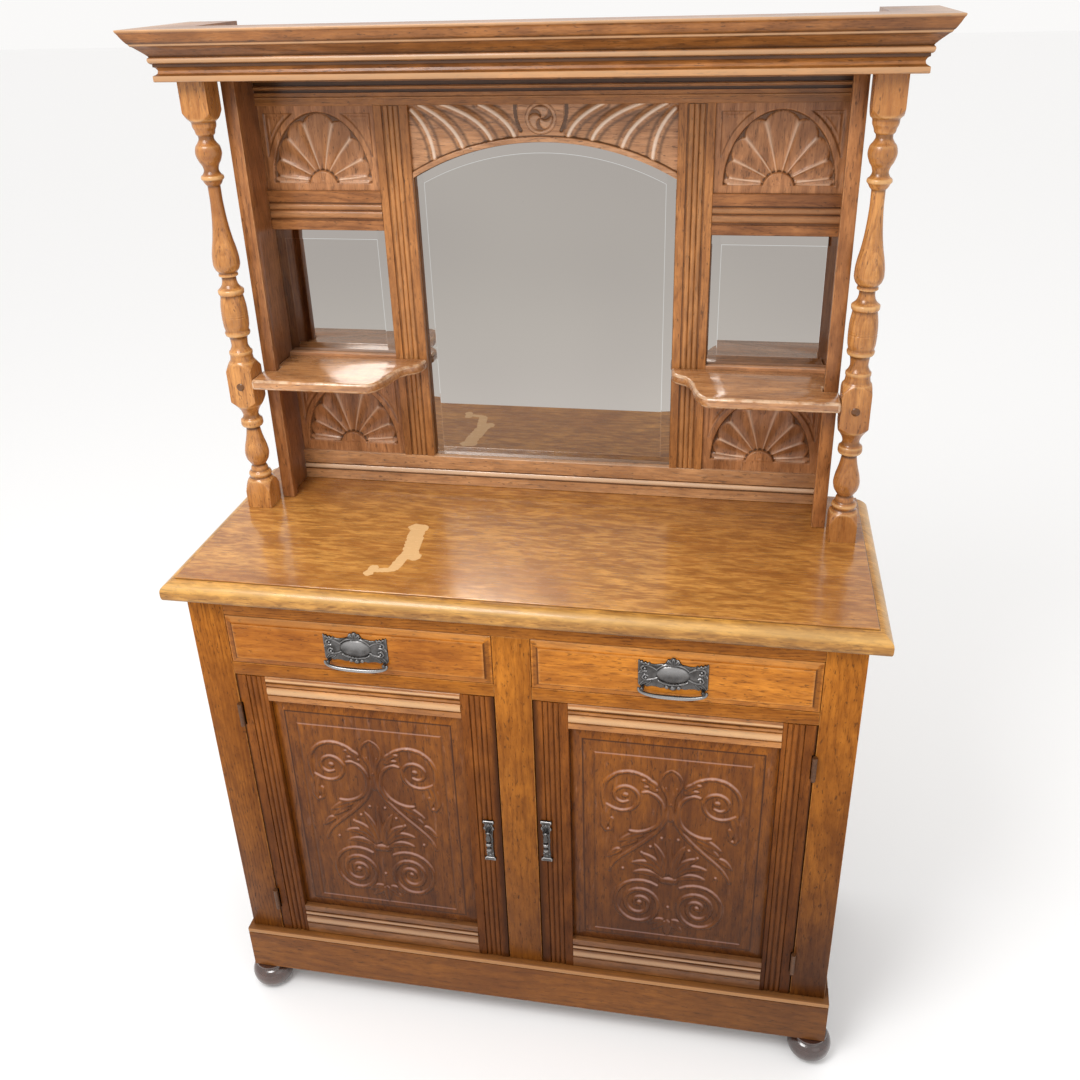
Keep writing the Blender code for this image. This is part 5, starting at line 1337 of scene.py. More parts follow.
# The carving's half, from the panel's middle line out, and up from the floor.
doorCarving = {
    "step": 0.0014,
    "rib": 0.0046,
    "rise": 0.0037,
    # Curves that ribs follow, with shares of the rib's width and rise, and how thin the ends are.
    "ribs": (("upperArc", 1.0, 1.0, 0.45), ("upperScroll", 0.88, 1.0, 0.55), ("innerLoop", 1.0, 1.0, 0.45),
             ("stem", 0.9, 0.9, 0.3), ("bud", 0.6, 0.8, 0.45)),
    "upperArc": ((0.030, 0.660), (0.046, 0.674), (0.070, 0.682), (0.094, 0.677), (0.112, 0.660),
                 (0.121, 0.636), (0.121, 0.610), (0.118, 0.588), (0.121, 0.566), (0.122, 0.550),
                 (0.116, 0.539), (0.107, 0.541), (0.106, 0.552)),
    "upperScroll": ((0.119, 0.600), (0.100, 0.589), (0.083, 0.587), (0.068, 0.594), (0.059, 0.608),
                    (0.058, 0.626), (0.067, 0.641), (0.081, 0.646), (0.094, 0.640), (0.101, 0.627),
                    (0.098, 0.613), (0.087, 0.606), (0.076, 0.610)),
    "innerLoop": ((0.052, 0.634), (0.040, 0.637), (0.028, 0.630), (0.018, 0.616), (0.013, 0.596),
                  (0.015, 0.576), (0.024, 0.558), (0.040, 0.545), (0.058, 0.539), (0.074, 0.540)),
    "stem": ((0.010, 0.652), (0.006, 0.628), (0.004, 0.600), (0.008, 0.574), (0.020, 0.549), (0.038, 0.526),
             (0.058, 0.505), (0.078, 0.486), (0.095, 0.468), (0.106, 0.450), (0.110, 0.436)),
    "bud": ((0.000, 0.694), (0.011, 0.686), (0.018, 0.672), (0.018, 0.656), (0.012, 0.642), (0.008, 0.630)),
    # Leaves bend from a to c by way of b and have a width. Each set has its rise, vein and fullness.
    "leafSets": (("leaves", 1.1, 0.45, 0.6), ("budLeaf", 0.8, 0.35, 0.6), ("petals", 1.1, 0.5, 0.9),
                 ("footLeaves", 1.0, 0.4, 0.9)),
    "leaves": (
        ((0.026, 0.650), (0.036, 0.666), (0.054, 0.663), 0.0078),
        ((0.024, 0.640), (0.036, 0.651), (0.050, 0.648), 0.0050),
        ((0.048, 0.536), (0.070, 0.530), (0.094, 0.512), 0.0088),
        ((0.058, 0.522), (0.076, 0.513), (0.090, 0.498), 0.0064),
        ((0.088, 0.494), (0.103, 0.486), (0.114, 0.470), 0.0070),
        ((0.108, 0.594), (0.124, 0.568), (0.116, 0.532), 0.0100),
        ((0.104, 0.568), (0.110, 0.556), (0.106, 0.540), 0.0052),
    ),
    "budLeaf": (((0.000, 0.570), (0.000, 0.640), (0.000, 0.688), 0.0070),),
    # The palmette opens from a tie over the two lower spirals.
    "petals": (
        ((0.000, 0.440), (0.000, 0.490), (0.000, 0.536), 0.0056),
        ((0.004, 0.438), (0.011, 0.484), (0.029, 0.516), 0.0082),
        ((0.007, 0.438), (0.024, 0.478), (0.053, 0.489), 0.0088),
        ((0.010, 0.436), (0.030, 0.476), (0.071, 0.462), 0.0090),
        ((0.012, 0.430), (0.040, 0.452), (0.068, 0.438), 0.0070),
    ),
    "footLeaves": (
        ((0.000, 0.340), (0.000, 0.320), (0.000, 0.297), 0.0090),
        ((0.004, 0.336), (0.016, 0.328), (0.028, 0.312), 0.0072),
        ((0.006, 0.340), (0.022, 0.338), (0.037, 0.327), 0.0054),
    ),
    # Beads: middle, radius, share of the rise, and how deep a dot is punched in them.
    "beads": (
        ((0.081, 0.624), 0.0062, 1.15, 0.0008), ((0.054, 0.370), 0.0056, 1.2, 0.0008),
        ((0.015, 0.529), 0.0036, 1.0, 0), ((0.035, 0.506), 0.0036, 1.0, 0), ((0.051, 0.490), 0.0036, 1.0, 0),
        ((0.085, 0.446), 0.0036, 1.0, 0), ((0.000, 0.612), 0.0038, 1.3, 0), ((0.000, 0.366), 0.0038, 1.0, 0),
    ),
    "arcBead": (0.0026, 1.35),
    "tie": (((-0.010, 0.428), (0.010, 0.428)), 0.0085, 1.3),
    "lowerEye": (0.054, 0.370),
    "lowerReach": 0.054,
    "lowerTurns": 2.45,
    "lowerStart": 128,
    # The margin round the panel, and the line cut round the carving. Their tones paint a shadow line at the
    # panel's edge and at the field's step, light on the bevel, and a highlight along the line above and
    # below.
    "sunk": 0.0065,
    "insets": (0.0, 0.0015, 0.0210, 0.0230, 0.0255, 1.0),
    "levels": (-0.0045, -0.0045, -0.0002, 0.0004, 0.0000, 0.0000),
    "tones": (-0.9, 0.10, 0.16, -0.9, -0.1, 0.0),
    "line": (0.0430, 0.0018, 0.0075),
    "lineCut": 0.0010,
    "lineTones": (0.75, -0.25),
    "shine": 1.05,
    "lowered": ((0.27, 0.020), (0.31, 0.023), (0.36, 0.014), (0.42, 0.008), (0.45, 0.008), (0.60, 0.007),
                (0.66, 0.012), (0.70, 0.013)),
}


def carveDoor(across, up):
    sizes = doorCarving
    rib, rise = sizes["rib"], sizes["rise"]
    work = Carving(across, up)
    for name, wide, tall, taper in sizes["ribs"]:
        work.rib(smoothLine(sizes[name]), rib * wide, rise * tall, taper)
    for name, tall, vein, full in sizes["leafSets"]:
        for a, b, c, width in sizes[name]:
            work.leaf(bentLine(a, b, c), width, rise * tall, vein, full)
    for middle, radius, tall, dot in sizes["beads"]:
        work.bead(middle, radius, rise * tall, dot)
    radius, tall = sizes["arcBead"]
    for point in smoothLine(sizes["upperArc"])[8:50:8]:
        work.bead(point, radius, rise * tall)
    spiral = spiralLine(sizes["lowerEye"], sizes["lowerReach"], sizes["lowerTurns"],
                        math.radians(sizes["lowerStart"]), -1, 0.14)
    work.rib(spiral, rib * 1.05, rise, 0.6)
    ends, width, tall = sizes["tie"]
    work.rib([np.array(end) for end in ends], width, rise * tall, 1.0)
    return work.height()


def makeDoorPanels():
    sizes = doorCarving
    for _, label in sides:
        node = f"{label}_door_panel"
        low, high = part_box(node)
        across, up = gridOver((low.x, high.x), (low.z, high.z), sizes["step"])
        heights, drops = zip(*sizes["lowered"])
        carved = carveDoor(np.abs(across - (low.x + high.x) / 2), up + np.interp(up, heights, drops))
        carved = softenGrid(carved, 2)
        # The line round the carving catches the light above and below.
        place, width, drop = sizes["line"]
        upright = np.minimum(up - low.z + drop, high.z - drop - up)
        sideways = np.minimum(across - low.x, high.x - across)
        within = np.minimum(upright, sideways)
        cut = np.exp(-((within - place) / width) ** 2)
        carved = np.where(within > place + width, carved, 0) - sizes["lineCut"] * cut
        inset = insetOf(across, up, low, high)
        tone = np.interp(inset, sizes["insets"], sizes["tones"])
        tone += np.where(upright < sideways, *sizes["lineTones"]) * cut
        # Painted highlight on the slopes that face up, and painted shade on those that face down.
        leanUp, leanOut = np.gradient(softenGrid(carved, 1), sizes["step"])
        tone += np.clip(-sizes["shine"] * leanUp - 0.25 * leanOut - 0.12, -0.45, 0.95)
        carved = np.interp(inset, sizes["insets"], sizes["levels"]) + carved
        reliefPiece(node, across, up, front + sizes["sunk"], carved, high.y, oak("panel", "z"), tone)


# A shell fans out from a half-round boss, inside a sunk arch.
shell = {
    "step": 0.0011,
    "base": {"upper": 0.0126, "lower": 0.0200},
    "face": 0.006,
    "halfWidth": 0.092,
    "rise": 0.121,
    "sunk": 0.0062,
    "wall": 0.984,
    "bounds": (0, 8, 29, 54, 76, 104, 126, 151, 172, 180),
    "twist": 7,
    "ridge": 0.0052,
    "crest": (0.0011, 0.0016),
    "tip": 0.980,
    "scallop": 0.085,
    "tipCut": 0.0012,
    "triangle": (0.0100, 0.0125, 0.0985, 0.045),
    "spandrel": 0.0022,
    "inlay": (0.0009, 0.0075, 0.0016),
    "hub": 0.0270,
    "hubDrop": 0.0050,
    "hubProud": 0.0008,
    "dot": (0.0016, 0.0060),
    "quirk": (0.0014, 0.0009),
}


def carveShell(across, up, top):
    # across is measured from the shell's middle and up from its base.
    sunk, hub = shell["sunk"], shell["hub"]
    radius = np.hypot(across, up)
    hubRadius = np.hypot(across, up + shell["hubDrop"])
    angle = np.degrees(np.arctan2(np.maximum(up, 0), across))
    slant = np.radians(angle)
    edge = 1 / np.hypot(np.cos(slant) / shell["halfWidth"], np.sin(slant) / shell["rise"])
    share = np.clip(radius / edge, 0, 1.5)
    # The ridges leave the boss a little steeper than they end.
    bent = np.clip(angle + np.sin(np.radians(2 * angle)) * shell["twist"] * (share - 0.7), 0.01, 179.99)
    bounds = np.array(shell["bounds"], float)
    lobe = np.clip(np.searchsorted(bounds, bent) - 1, 0, len(bounds) - 2)
    width = bounds[lobe + 1] - bounds[lobe]
    side = np.abs(2 * (bent - bounds[lobe]) / width - 1)
    crest, crestWidth = shell["crest"]
    rib = np.exp(-(((1 - side) * np.radians(width) * radius / 2) / crestWidth) ** 2)
    tip = shell["tip"] - shell["scallop"] * side ** 2.5
    dish = shell["ridge"] * (0.16 + 0.62 * side ** 1.7) * np.clip((share + 0.20) * 1.25, 0, 1)
    dish = dish * (1 - 0.30 * np.clip((share - 0.55) / 0.4, 0, 1)) + crest * rib
    end = np.clip((tip - share) / 0.05, 0, 1) ** 0.5
    high = np.where(share < tip, dish * end - sunk, -sunk - shell["tipCut"])
    # The wall of the arch, then the flat face with its two sunk triangles.
    high = high * (1 - np.clip((share - shell["wall"]) / (1 - shell["wall"]), 0, 1))
    beside, below, wide, foot = shell["triangle"]
    triangle = np.minimum.reduce([radius - edge - beside, (top - below) - up,
                                  wide - np.abs(across), up - foot])
    flat = -shell["spandrel"] * np.clip(triangle / 0.0022, 0, 1)
    rise, place, spread = shell["inlay"]
    flat += rise * np.exp(-((triangle - place) / spread) ** 2) * (triangle > 0.003)
    over, inArch = up > 0, share < 1
    high = np.where(inArch & over, high, flat)
    # The boss, flush with the face, with a turned dot in it.
    hubEdge = np.clip((hub - hubRadius) / 0.0018, 0, 1) ** 0.5
    boss = np.where((hubRadius < hub) & (up > -0.001), hubEdge * (sunk + shell["hubProud"]) - sunk, high)
    boss = np.where(over, boss, flat)
    depth, place = shell["dot"]
    dot = depth * np.exp(-(np.hypot(across, up - place) / depth) ** 2)
    depth, spread = shell["quirk"]
    quirk = depth * np.exp(-((hubRadius - hub - shell["hubProud"]) / spread) ** 2) * over
    # Painted highlight on the lobes' ridges and a lighter strip along the arch's foot; painted shade, with
    # dark wax, in the lobes, under the scallop tips, round the hub's edge and along the triangles.
    inside = (share < tip) & over & (hubRadius > hub)
    footStrip = (up < 0.009) & (np.abs(across) > 0.030)
    tone = np.where(inside, 1.05 * side ** 3.4 + 0.55 * footStrip - 0.22, 0.0)
    tone = np.where((share >= tip) & inArch & over, -0.6, tone)
    tone -= 0.9 * np.exp(-((hubRadius - hub - 0.0006) / 0.0012) ** 2) * over
    tone -= 0.5 * np.exp(-((triangle - 0.0008) / 0.0012) ** 2) * ((share > 1) | (up < 0))
    return boss - dot - quirk, np.clip(tone, -1, 1)


def makeShells():
    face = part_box("back_frame")[0].y + shell["face"]
    for _, label in sides:
        for place, baseRise in shell["base"].items():
            node = f"{label}_{place}_shell"
            low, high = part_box(node)
            across, up = gridOver((low.x, high.x), (low.z, high.z), shell["step"])
            base = low.z + baseRise
            carved, tone = carveShell(across - (low.x + high.x) / 2, up - base, high.z - base)
            reliefPiece(node, across, up, face, softenGrid(carved, 1), high.y, oak("carved", "z"),
                        softenGrid(tone, 1))


# The head over the middle glass: a band along the arch, leaning flutes and a whirl between two crescents.
head = {
    "step": 0.0011,
    "rows": 96,
    "face": 0.004,
    "footGap": 0.0004,
    "halfWidth": 0.2317,
    "spring": 1.6123,
    "archRise": 0.061,
    "band": 0.0100,
    "bandProud": 0.0006,
    "quirk": (0.0018, 0.0014),
    "ground": 0.0042,
    "middleField": (0.040, -0.0006),
    "ridge": (0.0120, 0.0052),
    "ridges": (
        ((0.046, 1.681), (0.055, 1.712), (0.106, 1.735)),
        ((0.087, 1.676), (0.101, 1.714), (0.176, 1.737)),
        ((0.138, 1.662), (0.150, 1.706), (0.212, 1.735)),
        ((0.190, 1.645), (0.193, 1.696), (0.226, 1.726)),
    ),
    "crescent": ((0.035, 1.692), (0.046, 1.712), (0.044, 1.734)),
    "crescentCut": (0.0030, -0.0034, -0.9),
    "roundel": (0.0, 1.7125),
    "roundelReach": 0.0265,
    "roundelSunk": 0.0034,
    "roundelRing": (0.0036, 0.0030),
    "comma": 0.0040,
    "haloCut": 0.0026,
}


def archAt(x, grow=0.0):
    half, rise = head["halfWidth"], head["archRise"]
    radius = (half * half + rise * rise) / (2 * rise)
    return head["spring"] + rise - radius + np.sqrt((radius + grow) ** 2 - x * x)


def carveHead(across, up):
    across = np.abs(across)
    overBand = up - archAt(np.minimum(across, head["halfWidth"] - 0.0001), head["band"])
    ground = np.clip(overBand / 0.0012, 0, 1)
    nearGap = np.full(across.shape, 9.0)
    ridgeHigh = np.zeros(across.shape)
    width, rise = head["ridge"]
    for a, b, c in head["ridges"]:
        gap, share = nearest(across, up, bentLine(a, b, c))
        wide = width * (0.55 + 0.45 * np.sin(math.pi * np.clip(share, 0, 1)))
        ridgeHigh = np.maximum(ridgeHigh, rise * np.clip(1 - gap / wide, 0, 1) ** 1.15)
        nearGap = np.minimum(nearGap, gap)
    # Painted highlight along each flute's crest, and painted shade a little way beside it.
    tone = 1.2 * np.exp(-(nearGap / 0.0030) ** 2) - 0.55 * np.exp(-((nearGap - 0.0105) / 0.0036) ** 2)
    middle, level = head["middleField"]
    outer = across > middle
    field, tone = np.where(outer, ridgeHigh - head["ground"], level), np.where(outer, tone, 0.0)
    reach, depth, wax = head["crescentCut"]
    crescent = nearest(across, up, bentLine(*head["crescent"]))[0] < reach
    field, tone = np.where(crescent, depth, field), np.where(crescent, wax, tone)
    onBand = overBand < 0
    cut, spread = head["quirk"]
    edge = np.exp(-(overBand / spread) ** 2)
    carved = np.where(onBand, head["bandProud"], 0.0) * (1 - ground) + field * ground - cut * edge
    # The band is a touch lighter, and the quirk along its top is darkened as painted shade with wax.
    return carved, np.where(onBand, 0.1, tone) - 0.9 * edge


def carveWhirl(across, up, high, tone):
    middle, reach, sunk = head["roundel"], head["roundelReach"], head["roundelSunk"]
    dx, dz = across - middle[0], up - middle[1]
    radius, angle = np.hypot(dx, dz), np.arctan2(dz, dx)
    rise, width = head["roundelRing"]
    ring = rise * np.sqrt(np.clip(1 - ((radius - reach + width) / width) ** 2, 0, 1))
    # Three commas chase each other round the middle.
    swirl = 0.5 + 0.5 * np.cos(3 * (angle - 1.5 * radius / reach - 0.5))
    fade = np.clip((reach - 0.0062 - radius) / 0.0025, 0, 1) ** 0.5
    commas = head["comma"] * np.clip(swirl * 1.5 - 0.18, 0, 1) ** 0.6 * fade
    halo = np.clip((radius - reach) / 0.0014, 0, 1)
    relief = np.maximum(ring, commas)
    # Painted light and shade: the ring and commas lighter, the sunk ground between them darker, and a dark
    # halo in the cut round the roundel.
    inside = np.clip((relief - 0.0016) / 0.0016, -0.55, 0.28)
    carved = np.where(radius < reach, relief - sunk, high * halo - head["haloCut"] * (1 - halo))
    return carved, np.where(radius < reach, inside, tone * halo - 0.8 * (1 - halo))


def archInside(x):
    return archAt(np.clip(x, -head["halfWidth"], head["halfWidth"]))


def makeHead():
    low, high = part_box("head_panel")
    x = np.linspace(low.x, high.x, int(round((high.x - low.x) / head["step"])) + 1)
    foot = archInside(x) + head["footGap"]
    share = np.linspace(0, 1, head["rows"])[:, None]
    across = np.repeat(x[None, :], head["rows"], axis=0)
    up = foot[None, :] * (1 - share) + high.z * share
    carved, tone = carveWhirl(across, up, *carveHead(across, up))
    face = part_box("back_frame")[0].y + head["face"]
    reliefPiece("head_panel", across, up, face, softenGrid(carved, 1), high.y, oak("head", "x"), tone)


makeDoorPanels()
makeShells()
makeHead()
print("panels carved")


# Mirrors: a wide bevel, and a painted highlight along the line where it meets the flat

glass = {
    "bevel": 0.018,
    "drop": 0.0018,
    "arris": 0.0007,
    "edge": (0.0006, 0.0004),
    "archGap": 0.0006,
    "archColumns": 48,
}


def makeMirrors():
    bevel, arrisWidth, drop = glass["bevel"], glass["arris"], glass["drop"]
    edge, edgeDrop = glass["edge"]
    insets = np.array((0, edge, bevel - arrisWidth, bevel, bevel + arrisWidth, bevel + 0.004))
    rise = (-drop - edgeDrop, -drop, -0.0001, 0, 0, 0)
    tone = (0.9, 0.0, 0.0, 0.9, 0.0, 0.0)
    for node in ("left_mirror", "right_mirror", "centre_mirror"):
        low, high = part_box(node)
        x = np.concatenate([low.x + insets, (high.x - insets)[::-1]])
        top = np.full(len(x), high.z)
        if node == "centre_mirror":
            columns = np.linspace(low.x + insets[-1], high.x - insets[-1], glass["archColumns"])
            x = np.unique(np.concatenate([x, columns]))
            top = archInside(x) - glass["archGap"]
        rows = [np.full(len(x), low.z + inset) for inset in insets] + [top - inset for inset in insets[::-1]]
        across, up = np.repeat(x[None, :], len(rows), 0), np.array(rows)
        inset = np.minimum.reduce([across - low.x, high.x - across, up - low.z, top[None, :] - up])
        reliefPiece(node, across, up, low.y, np.interp(inset, insets, rise), high.y, silveredGlass(),
                    np.interp(inset, insets, tone), smoothAngle=2)


makeMirrors()
print("mirrors bevelled")


# Handles and pulls

def castWire(name, points, radii):
    line = lineMesh(name, points)
    markPoints(line, "wide", radii)
    return grown(trees["wire"], name, {"Sides": 16}, line)


def knob(middle, radius, steps=12):
    # A ball as a wire that swells and closes again.
    angles = np.linspace(0.02, math.pi - 0.02, steps)
    points = [(middle[0], middle[1], middle[2] - radius * math.cos(a)) for a in angles]
    return castWire("knob", points, [radius * math.sin(a) for a in angles])


def together(name, meshes):
    return joined(name, [(data, Matrix()) for data in meshes])


def chased(high, spread, scale):
    # The tone of cast metal: hollows are dark, and what stands above its surroundings is rubbed.
    return np.clip((high - softenGrid(high, spread)) / scale, -1, 0.8)


handle = {
    "halfWidth": 0.058,
    "halfHeight": 0.0255,
    "columns": 190,
    "rows": 70,
    "plate": 0.0019,
    "ease": 0.0012,
    "chasing": (0.0006, 0.0010),
    "tone": (14, 0.0016),
    "bossReach": (0.0275, 0.0176),
    "bossOut": 0.0056,
    "bossCut": (0.0003, 1.06, 0.045),
    "topShares": (
        (0.00, 1.31), (0.05, 1.28), (0.08, 1.17), (0.12, 1.20), (0.165, 1.16), (0.19, 1.02), (0.235, 0.86),
        (0.36, 0.78), (0.50, 0.72), (0.62, 0.74), (0.68, 0.86), (0.72, 0.79), (0.78, 0.90), (0.83, 0.83),
        (0.88, 0.97), (0.93, 0.92), (0.97, 1.02), (1.00, 0.90),
    ),
    "footShares": (
        (0.00, -1.27), (0.07, -1.24), (0.115, -1.14), (0.16, -1.18), (0.22, -1.08), (0.27, -1.08),
        (0.33, -1.12), (0.45, -1.06), (0.60, -1.02), (0.68, -1.06), (0.74, -1.10), (0.80, -1.00),
        (0.86, -1.13), (0.93, -1.08), (1.00, -0.90),
    ),
    "scroll": (0.0021, 0.0022, 0.5),
    "scrolls": (
        ((0.026, 0.008), (0.034, 0.013), (0.044, 0.016), (0.052, 0.012), (0.050, 0.005), (0.043, 0.005)),
        ((0.026, -0.007), (0.034, -0.011), (0.044, -0.013), (0.050, -0.009), (0.047, -0.003),
         (0.041, -0.004)),
        ((-0.001, 0.019), (0.009, 0.0195), (0.018, 0.0165), (0.026, 0.010)),
        ((-0.001, -0.0195), (0.008, -0.0190), (0.017, -0.0165), (0.024, -0.0125)),
    ),
    "leaf": (0.0020, 0.5),
    "leaves": (
        ((0.038, 0.015), (0.046, 0.019), (0.0555, 0.0245), 0.0036),
        ((0.048, 0.006), (0.053, 0.004), (0.0570, -0.001), 0.0034),
        ((0.042, -0.014), (0.049, -0.018), (0.0550, -0.0250), 0.0038),
        ((0.036, -0.013), (0.041, -0.018), (0.045, -0.024), 0.0026),
        ((0.000, 0.020), (0.000, 0.026), (0.000, 0.0325), 0.0042),
        ((0.003, 0.021), (0.008, 0.025), (0.0105, 0.0300), 0.0036),
    ),
    "beadRise": 0.0030,
    "beads": (((0.000, -0.0265), 0.0044), ((0.0100, -0.0250), 0.0038), ((0.0465, 0.0105), 0.0024),
              ((0.0450, -0.0080), 0.0024)),
    "pivotDrop": 0.0275,
    "pivotOut": 0.0083,
    "ear": 0.0505,
    "earRadius": 0.0038,
    "neckRoot": 0.0006,
    "neckRadii": (0.0022, 0.0016),
    "bailReach": 0.0560,
    "bailDrop": 0.0136,
    "bailRadii": (0.0025, 0.0038),
    "pin": 0.0016,
    "pinKnob": 0.0026,
    "collar": ((-0.0065, 0.0024), (-0.005, 0.0033), (0.005, 0.0033), (0.0065, 0.0024)),
}


def makeHandlePlate(node, face, middle):
    wide, tall = handle["halfWidth"], handle["halfHeight"]
    share = np.linspace(-1, 1, handle["columns"])
    top = middle[1] + tall * eased(handle["topShares"])(np.abs(share))
    foot = middle[1] + tall * eased(handle["footShares"])(np.abs(share))
    rows = np.linspace(0, 1, handle["rows"])[:, None]
    across = np.repeat(middle[0] + wide * share[None, :], handle["rows"], 0)
    up = foot[None, :] * (1 - rows) + top[None, :] * rows
    dx, dz = np.abs(across - middle[0]), up - middle[1]
    edge = np.minimum(np.minimum(top[None, :] - up, up - foot[None, :]), wide - dx)
    work = Carving(dx, dz, *handle["chasing"])
    for points in handle["scrolls"]:
        work.rib(smoothLine(points), *handle["scroll"])
    for a, b, c, width in handle["leaves"]:
        work.leaf(bentLine(a, b, c), width, *handle["leaf"])
    for spot, radius in handle["beads"]:
        work.bead(spot, radius, handle["beadRise"])
    reach = np.hypot(dx / handle["bossReach"][0], dz / handle["bossReach"][1])
    dome = handle["bossOut"] * np.clip(1 - reach ** 2.4, 0, 1) ** 0.62
    raised = np.maximum(work.height() * np.clip(edge / 0.0016, 0.25, 1), dome)
    cut, place, spread = handle["bossCut"]
    raised -= cut * np.exp(-((reach - place) / spread) ** 2)
    raised = handle["plate"] * np.clip(edge / handle["ease"], 0, 1) ** 0.5 + raised
    tone = chased(raised, *handle["tone"])
    # Painted light on the boss: its upper half lighter and its lower half darker.
    boss = 0.16 + 0.36 * np.clip(dz / 0.011, -1, 1)
    tone += (boss - tone) * np.clip((1.04 - reach) / 0.16, 0, 1)
    reliefPiece(node, across, up, face, raised, face, pewter(), tone, smoothAngle=70)


def makeBail(label, x, y, z):
    reach, drop = handle["bailReach"], handle["bailDrop"]
    thin, thick = handle["bailRadii"]
    path, radii = [], []
    for a in np.linspace(-math.pi / 2, math.pi / 2, 41):
        hang = math.cos(a) if math.cos(a) > 1e-6 else 0.0
        path.append((x + reach * math.copysign(abs(math.sin(a)) ** 0.80, a), y, z - drop * hang ** 0.85))
        radii.append(thin + (thick - thin) * hang ** 1.6)
    inner, pin = handle["ear"] + 0.001, [handle["pin"]] * 2
    pins = [castWire("pin", [(x + end * reach, y, z), (x + end * inner, y, z)], pin) for end in (-1, 1)]
    knobs = [knob((x + end * reach, y, z), handle["pinKnob"]) for end in (-1, 1)]
    collar = castWire("collar", [(x + dx, y, z - drop) for dx, _ in handle["collar"]],
                      [radius for _, radius in handle["collar"]])
    bail = together(f"{label}Bail", [castWire("bail", path, radii), *pins, *knobs, collar])
    markPoints(bail, "tone", np.clip((y - placesOf(bail)[:, 1]) / thick * 0.6, 0, 0.7))
    addPiece(f"{label}Bail", bail, pewter(), f"{label}_bail", 50)


def makeHandle(label):
    node = f"{label}_handle_plate"
    low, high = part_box(node)
    middle = ((low.x + high.x) / 2, high.z - handle["topShares"][0][1] * handle["halfHeight"])
    makeHandlePlate(node, high.y, middle)

    y, z = high.y - handle["pivotOut"], middle[1] - handle["pivotDrop"]
    root, neck = high.y - handle["neckRoot"], np.linspace(0, 1, 9)
    thin, flare = handle["neckRadii"]
    radii = thin + flare * (1 - neck) ** 2
    ears = []
    for end in (-1, 1):
        x = middle[0] + end * handle["ear"]
        post = [(x, root + (y - root) * t, z) for t in neck]
        ears += [castWire("neck", post, radii), knob((x, y, z), handle["earRadius"])]
    addPiece(f"{label}HandleEars", together(f"{label}HandleEars", ears), pewter(), node, 60)
    makeBail(label, middle[0], y, z)


pull = {
    "columns": 34,
    "rows": 170,
    "plate": 0.0018,
    "ease": 0.0010,
    "chasing": (0.0005, 0.0009),
    "tone": (10, 0.0014),
    "widthShares": (
        (-1.00, 0.90), (-0.97, 1.00), (-0.88, 0.98), (-0.85, 0.72), (-0.78, 0.62), (-0.68, 0.72),
        (-0.60, 0.66), (-0.45, 0.58), (-0.20, 0.60), (0.00, 0.66), (0.20, 0.60), (0.40, 0.64),
        (0.50, 0.76), (0.60, 0.98), (0.66, 0.88), (0.72, 0.72), (0.80, 0.78), (0.86, 0.97),
        (0.95, 1.00), (1.00, 0.88),
    ),
    "bars": ((0.925, 0.0026), (-0.935, 0.0034)),
    "barHalf": 0.0042,
    "beads": (((0.0, 0.0365), 0.0034, 0.0024), ((0.0078, 0.0290), 0.0022, 0.0020),
              ((0.0, -0.0370), 0.0034, 0.0024), ((0.0052, -0.0310), 0.0020, 0.0018)),
    "leaf": ((0.0, 0.016), (0.0, 0.004), (0.0, -0.030)),
    "leafCut": (0.0050, 0.0012, 0.3),
    "scroll": ((0.0030, 0.040), (0.0068, 0.036), (0.0080, 0.031), (0.0056, 0.026), (0.0040, 0.020)),
    "scrollCut": (0.0012, 0.0014),
    "dropShares": (
        (0.00, 0.02), (0.012, 0.36), (0.05, 0.48), (0.085, 0.40), (0.11, 0.46), (0.18, 0.66), (0.27, 0.90),
        (0.35, 1.00), (0.42, 0.94), (0.48, 0.66), (0.515, 0.46), (0.55, 0.50), (0.575, 0.96), (0.61, 1.05),
        (0.66, 1.05), (0.70, 0.94), (0.735, 0.56), (0.79, 0.44), (0.83, 0.56), (0.87, 0.86), (0.92, 0.98),
        (0.965, 0.76), (0.99, 0.34), (1.00, 0.02),
    ),
    "dropRadius": 0.0052,
    "dropSteps": 90,
    "pivotDrop": 0.0030,
    "cheek": 0.0045,
    "cheekRadii": (0.0017, 0.0014, 0.0010),
    "cheekReach": 0.0010,
    "pin": (0.0055, 0.0008),
}


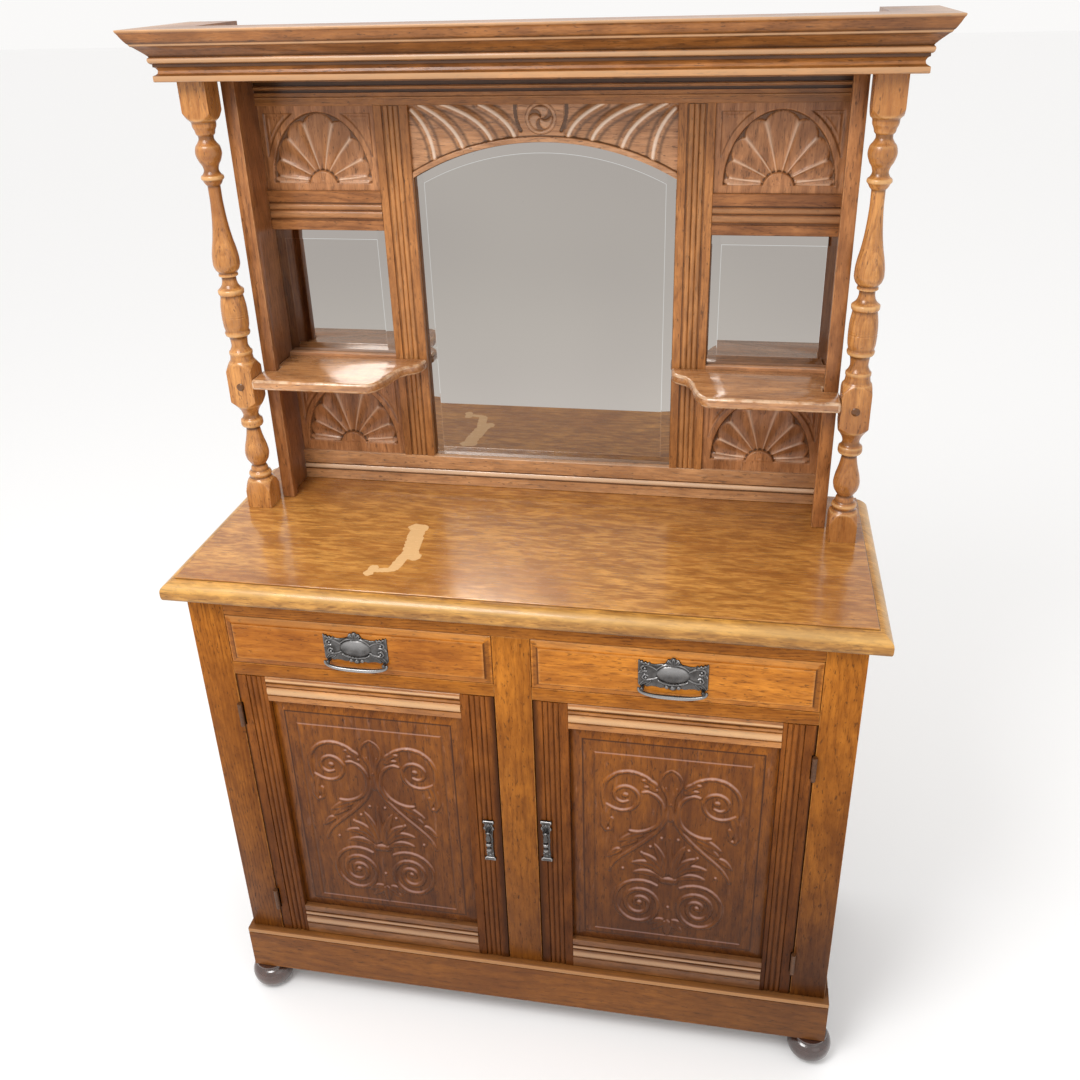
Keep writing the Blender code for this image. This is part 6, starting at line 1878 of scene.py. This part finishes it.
def makePullPlate(node, low, high):
    middle, half = (low + high) / 2, (high - low) / 2
    share = np.linspace(-1, 1, pull["rows"])
    widths = half.x * eased(pull["widthShares"])(share)
    columns = np.linspace(-1, 1, pull["columns"])
    across = middle.x + widths[:, None] * columns[None, :]
    up = np.repeat((middle.z + half.z * share)[:, None], pull["columns"], 1)
    dx, dz = np.abs(across - middle.x), up - middle.z
    edge = np.minimum(widths[:, None] - dx, half.z - np.abs(dz))
    work = Carving(dx, dz, *pull["chasing"])
    for spot, radius, rise in pull["beads"]:
        work.bead(spot, radius, rise)
    work.leaf(bentLine(*pull["leaf"]), *pull["leafCut"])
    work.rib(smoothLine(pull["scroll"]), *pull["scrollCut"])
    raised = np.maximum(0, work.height())
    for place, out in pull["bars"]:
        bar = np.clip(1 - ((dz - place * half.z) / pull["barHalf"]) ** 2, 0, 1) ** 0.5
        raised = np.maximum(raised, out * bar)
    plate = pull["plate"] * np.clip(edge / pull["ease"], 0, 1) ** 0.5
    raised = plate + raised * np.clip(edge / 0.0012, 0.2, 1)
    tone = chased(raised, *pull["tone"])
    reliefPiece(node, across, up, high.y, raised, high.y, pewter(), tone, smoothAngle=70)


def makePull(label):
    node = f"{label}_pull_plate"
    low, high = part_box(node)
    makePullPlate(node, low, high)

    foot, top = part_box(f"{label}_pull_drop")
    axis, middleX = (foot + top) / 2, (low.x + high.x) / 2
    z, reach = top.z - pull["pivotDrop"], pull["cheekReach"]
    parts = []
    for end in (-1, 1):
        x = middleX + end * pull["cheek"]
        places = [(x, y, z) for y in (high.y - reach, axis.y + reach, axis.y - reach)]
        parts.append(castWire("cheek", places, pull["cheekRadii"]))
    half, radius = pull["pin"]
    ends = [(middleX - half, axis.y, z), (middleX + half, axis.y, z)]
    parts.append(castWire("pin", ends, [radius, radius]))
    addPiece(f"{label}PullCheeks", together(f"{label}PullCheeks", parts), pewter(), node, 60)

    profile, length, steps = eased(pull["dropShares"]), top.z - foot.z, pull["dropSteps"]
    line = [(pull["dropRadius"] * float(profile(i / steps)), top.z - length * i / steps)
            for i in range(steps + 1)]
    data = turned(f"{label}PullDrop", line, 40)
    data.transform(Matrix.Translation((axis.x, axis.y, 0)))
    shape = toneByShape([radius for radius, _ in line], 6, 0.0012)
    markPoints(data, "tone", np.interp(-placesOf(data)[:, 2], [-height for _, height in line], shape))
    faceOutwards(data)
    addPiece(f"{label}PullDrop", data, pewter(), f"{label}_pull_drop", 50)


for _, label in sides:
    makeHandle(label)
    makePull(label)
print("handles and pulls cast")


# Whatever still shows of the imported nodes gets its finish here.
def finishTheRest():
    for node, obj in nodes.items():
        if obj.hide_render:
            continue
        obj.data.materials.clear()
        obj.data.materials.append(agedBrass() if slotOf[node] == "pewter" else oak("brown", "z"))
        print("kept from the frame:", node)


finishTheRest()
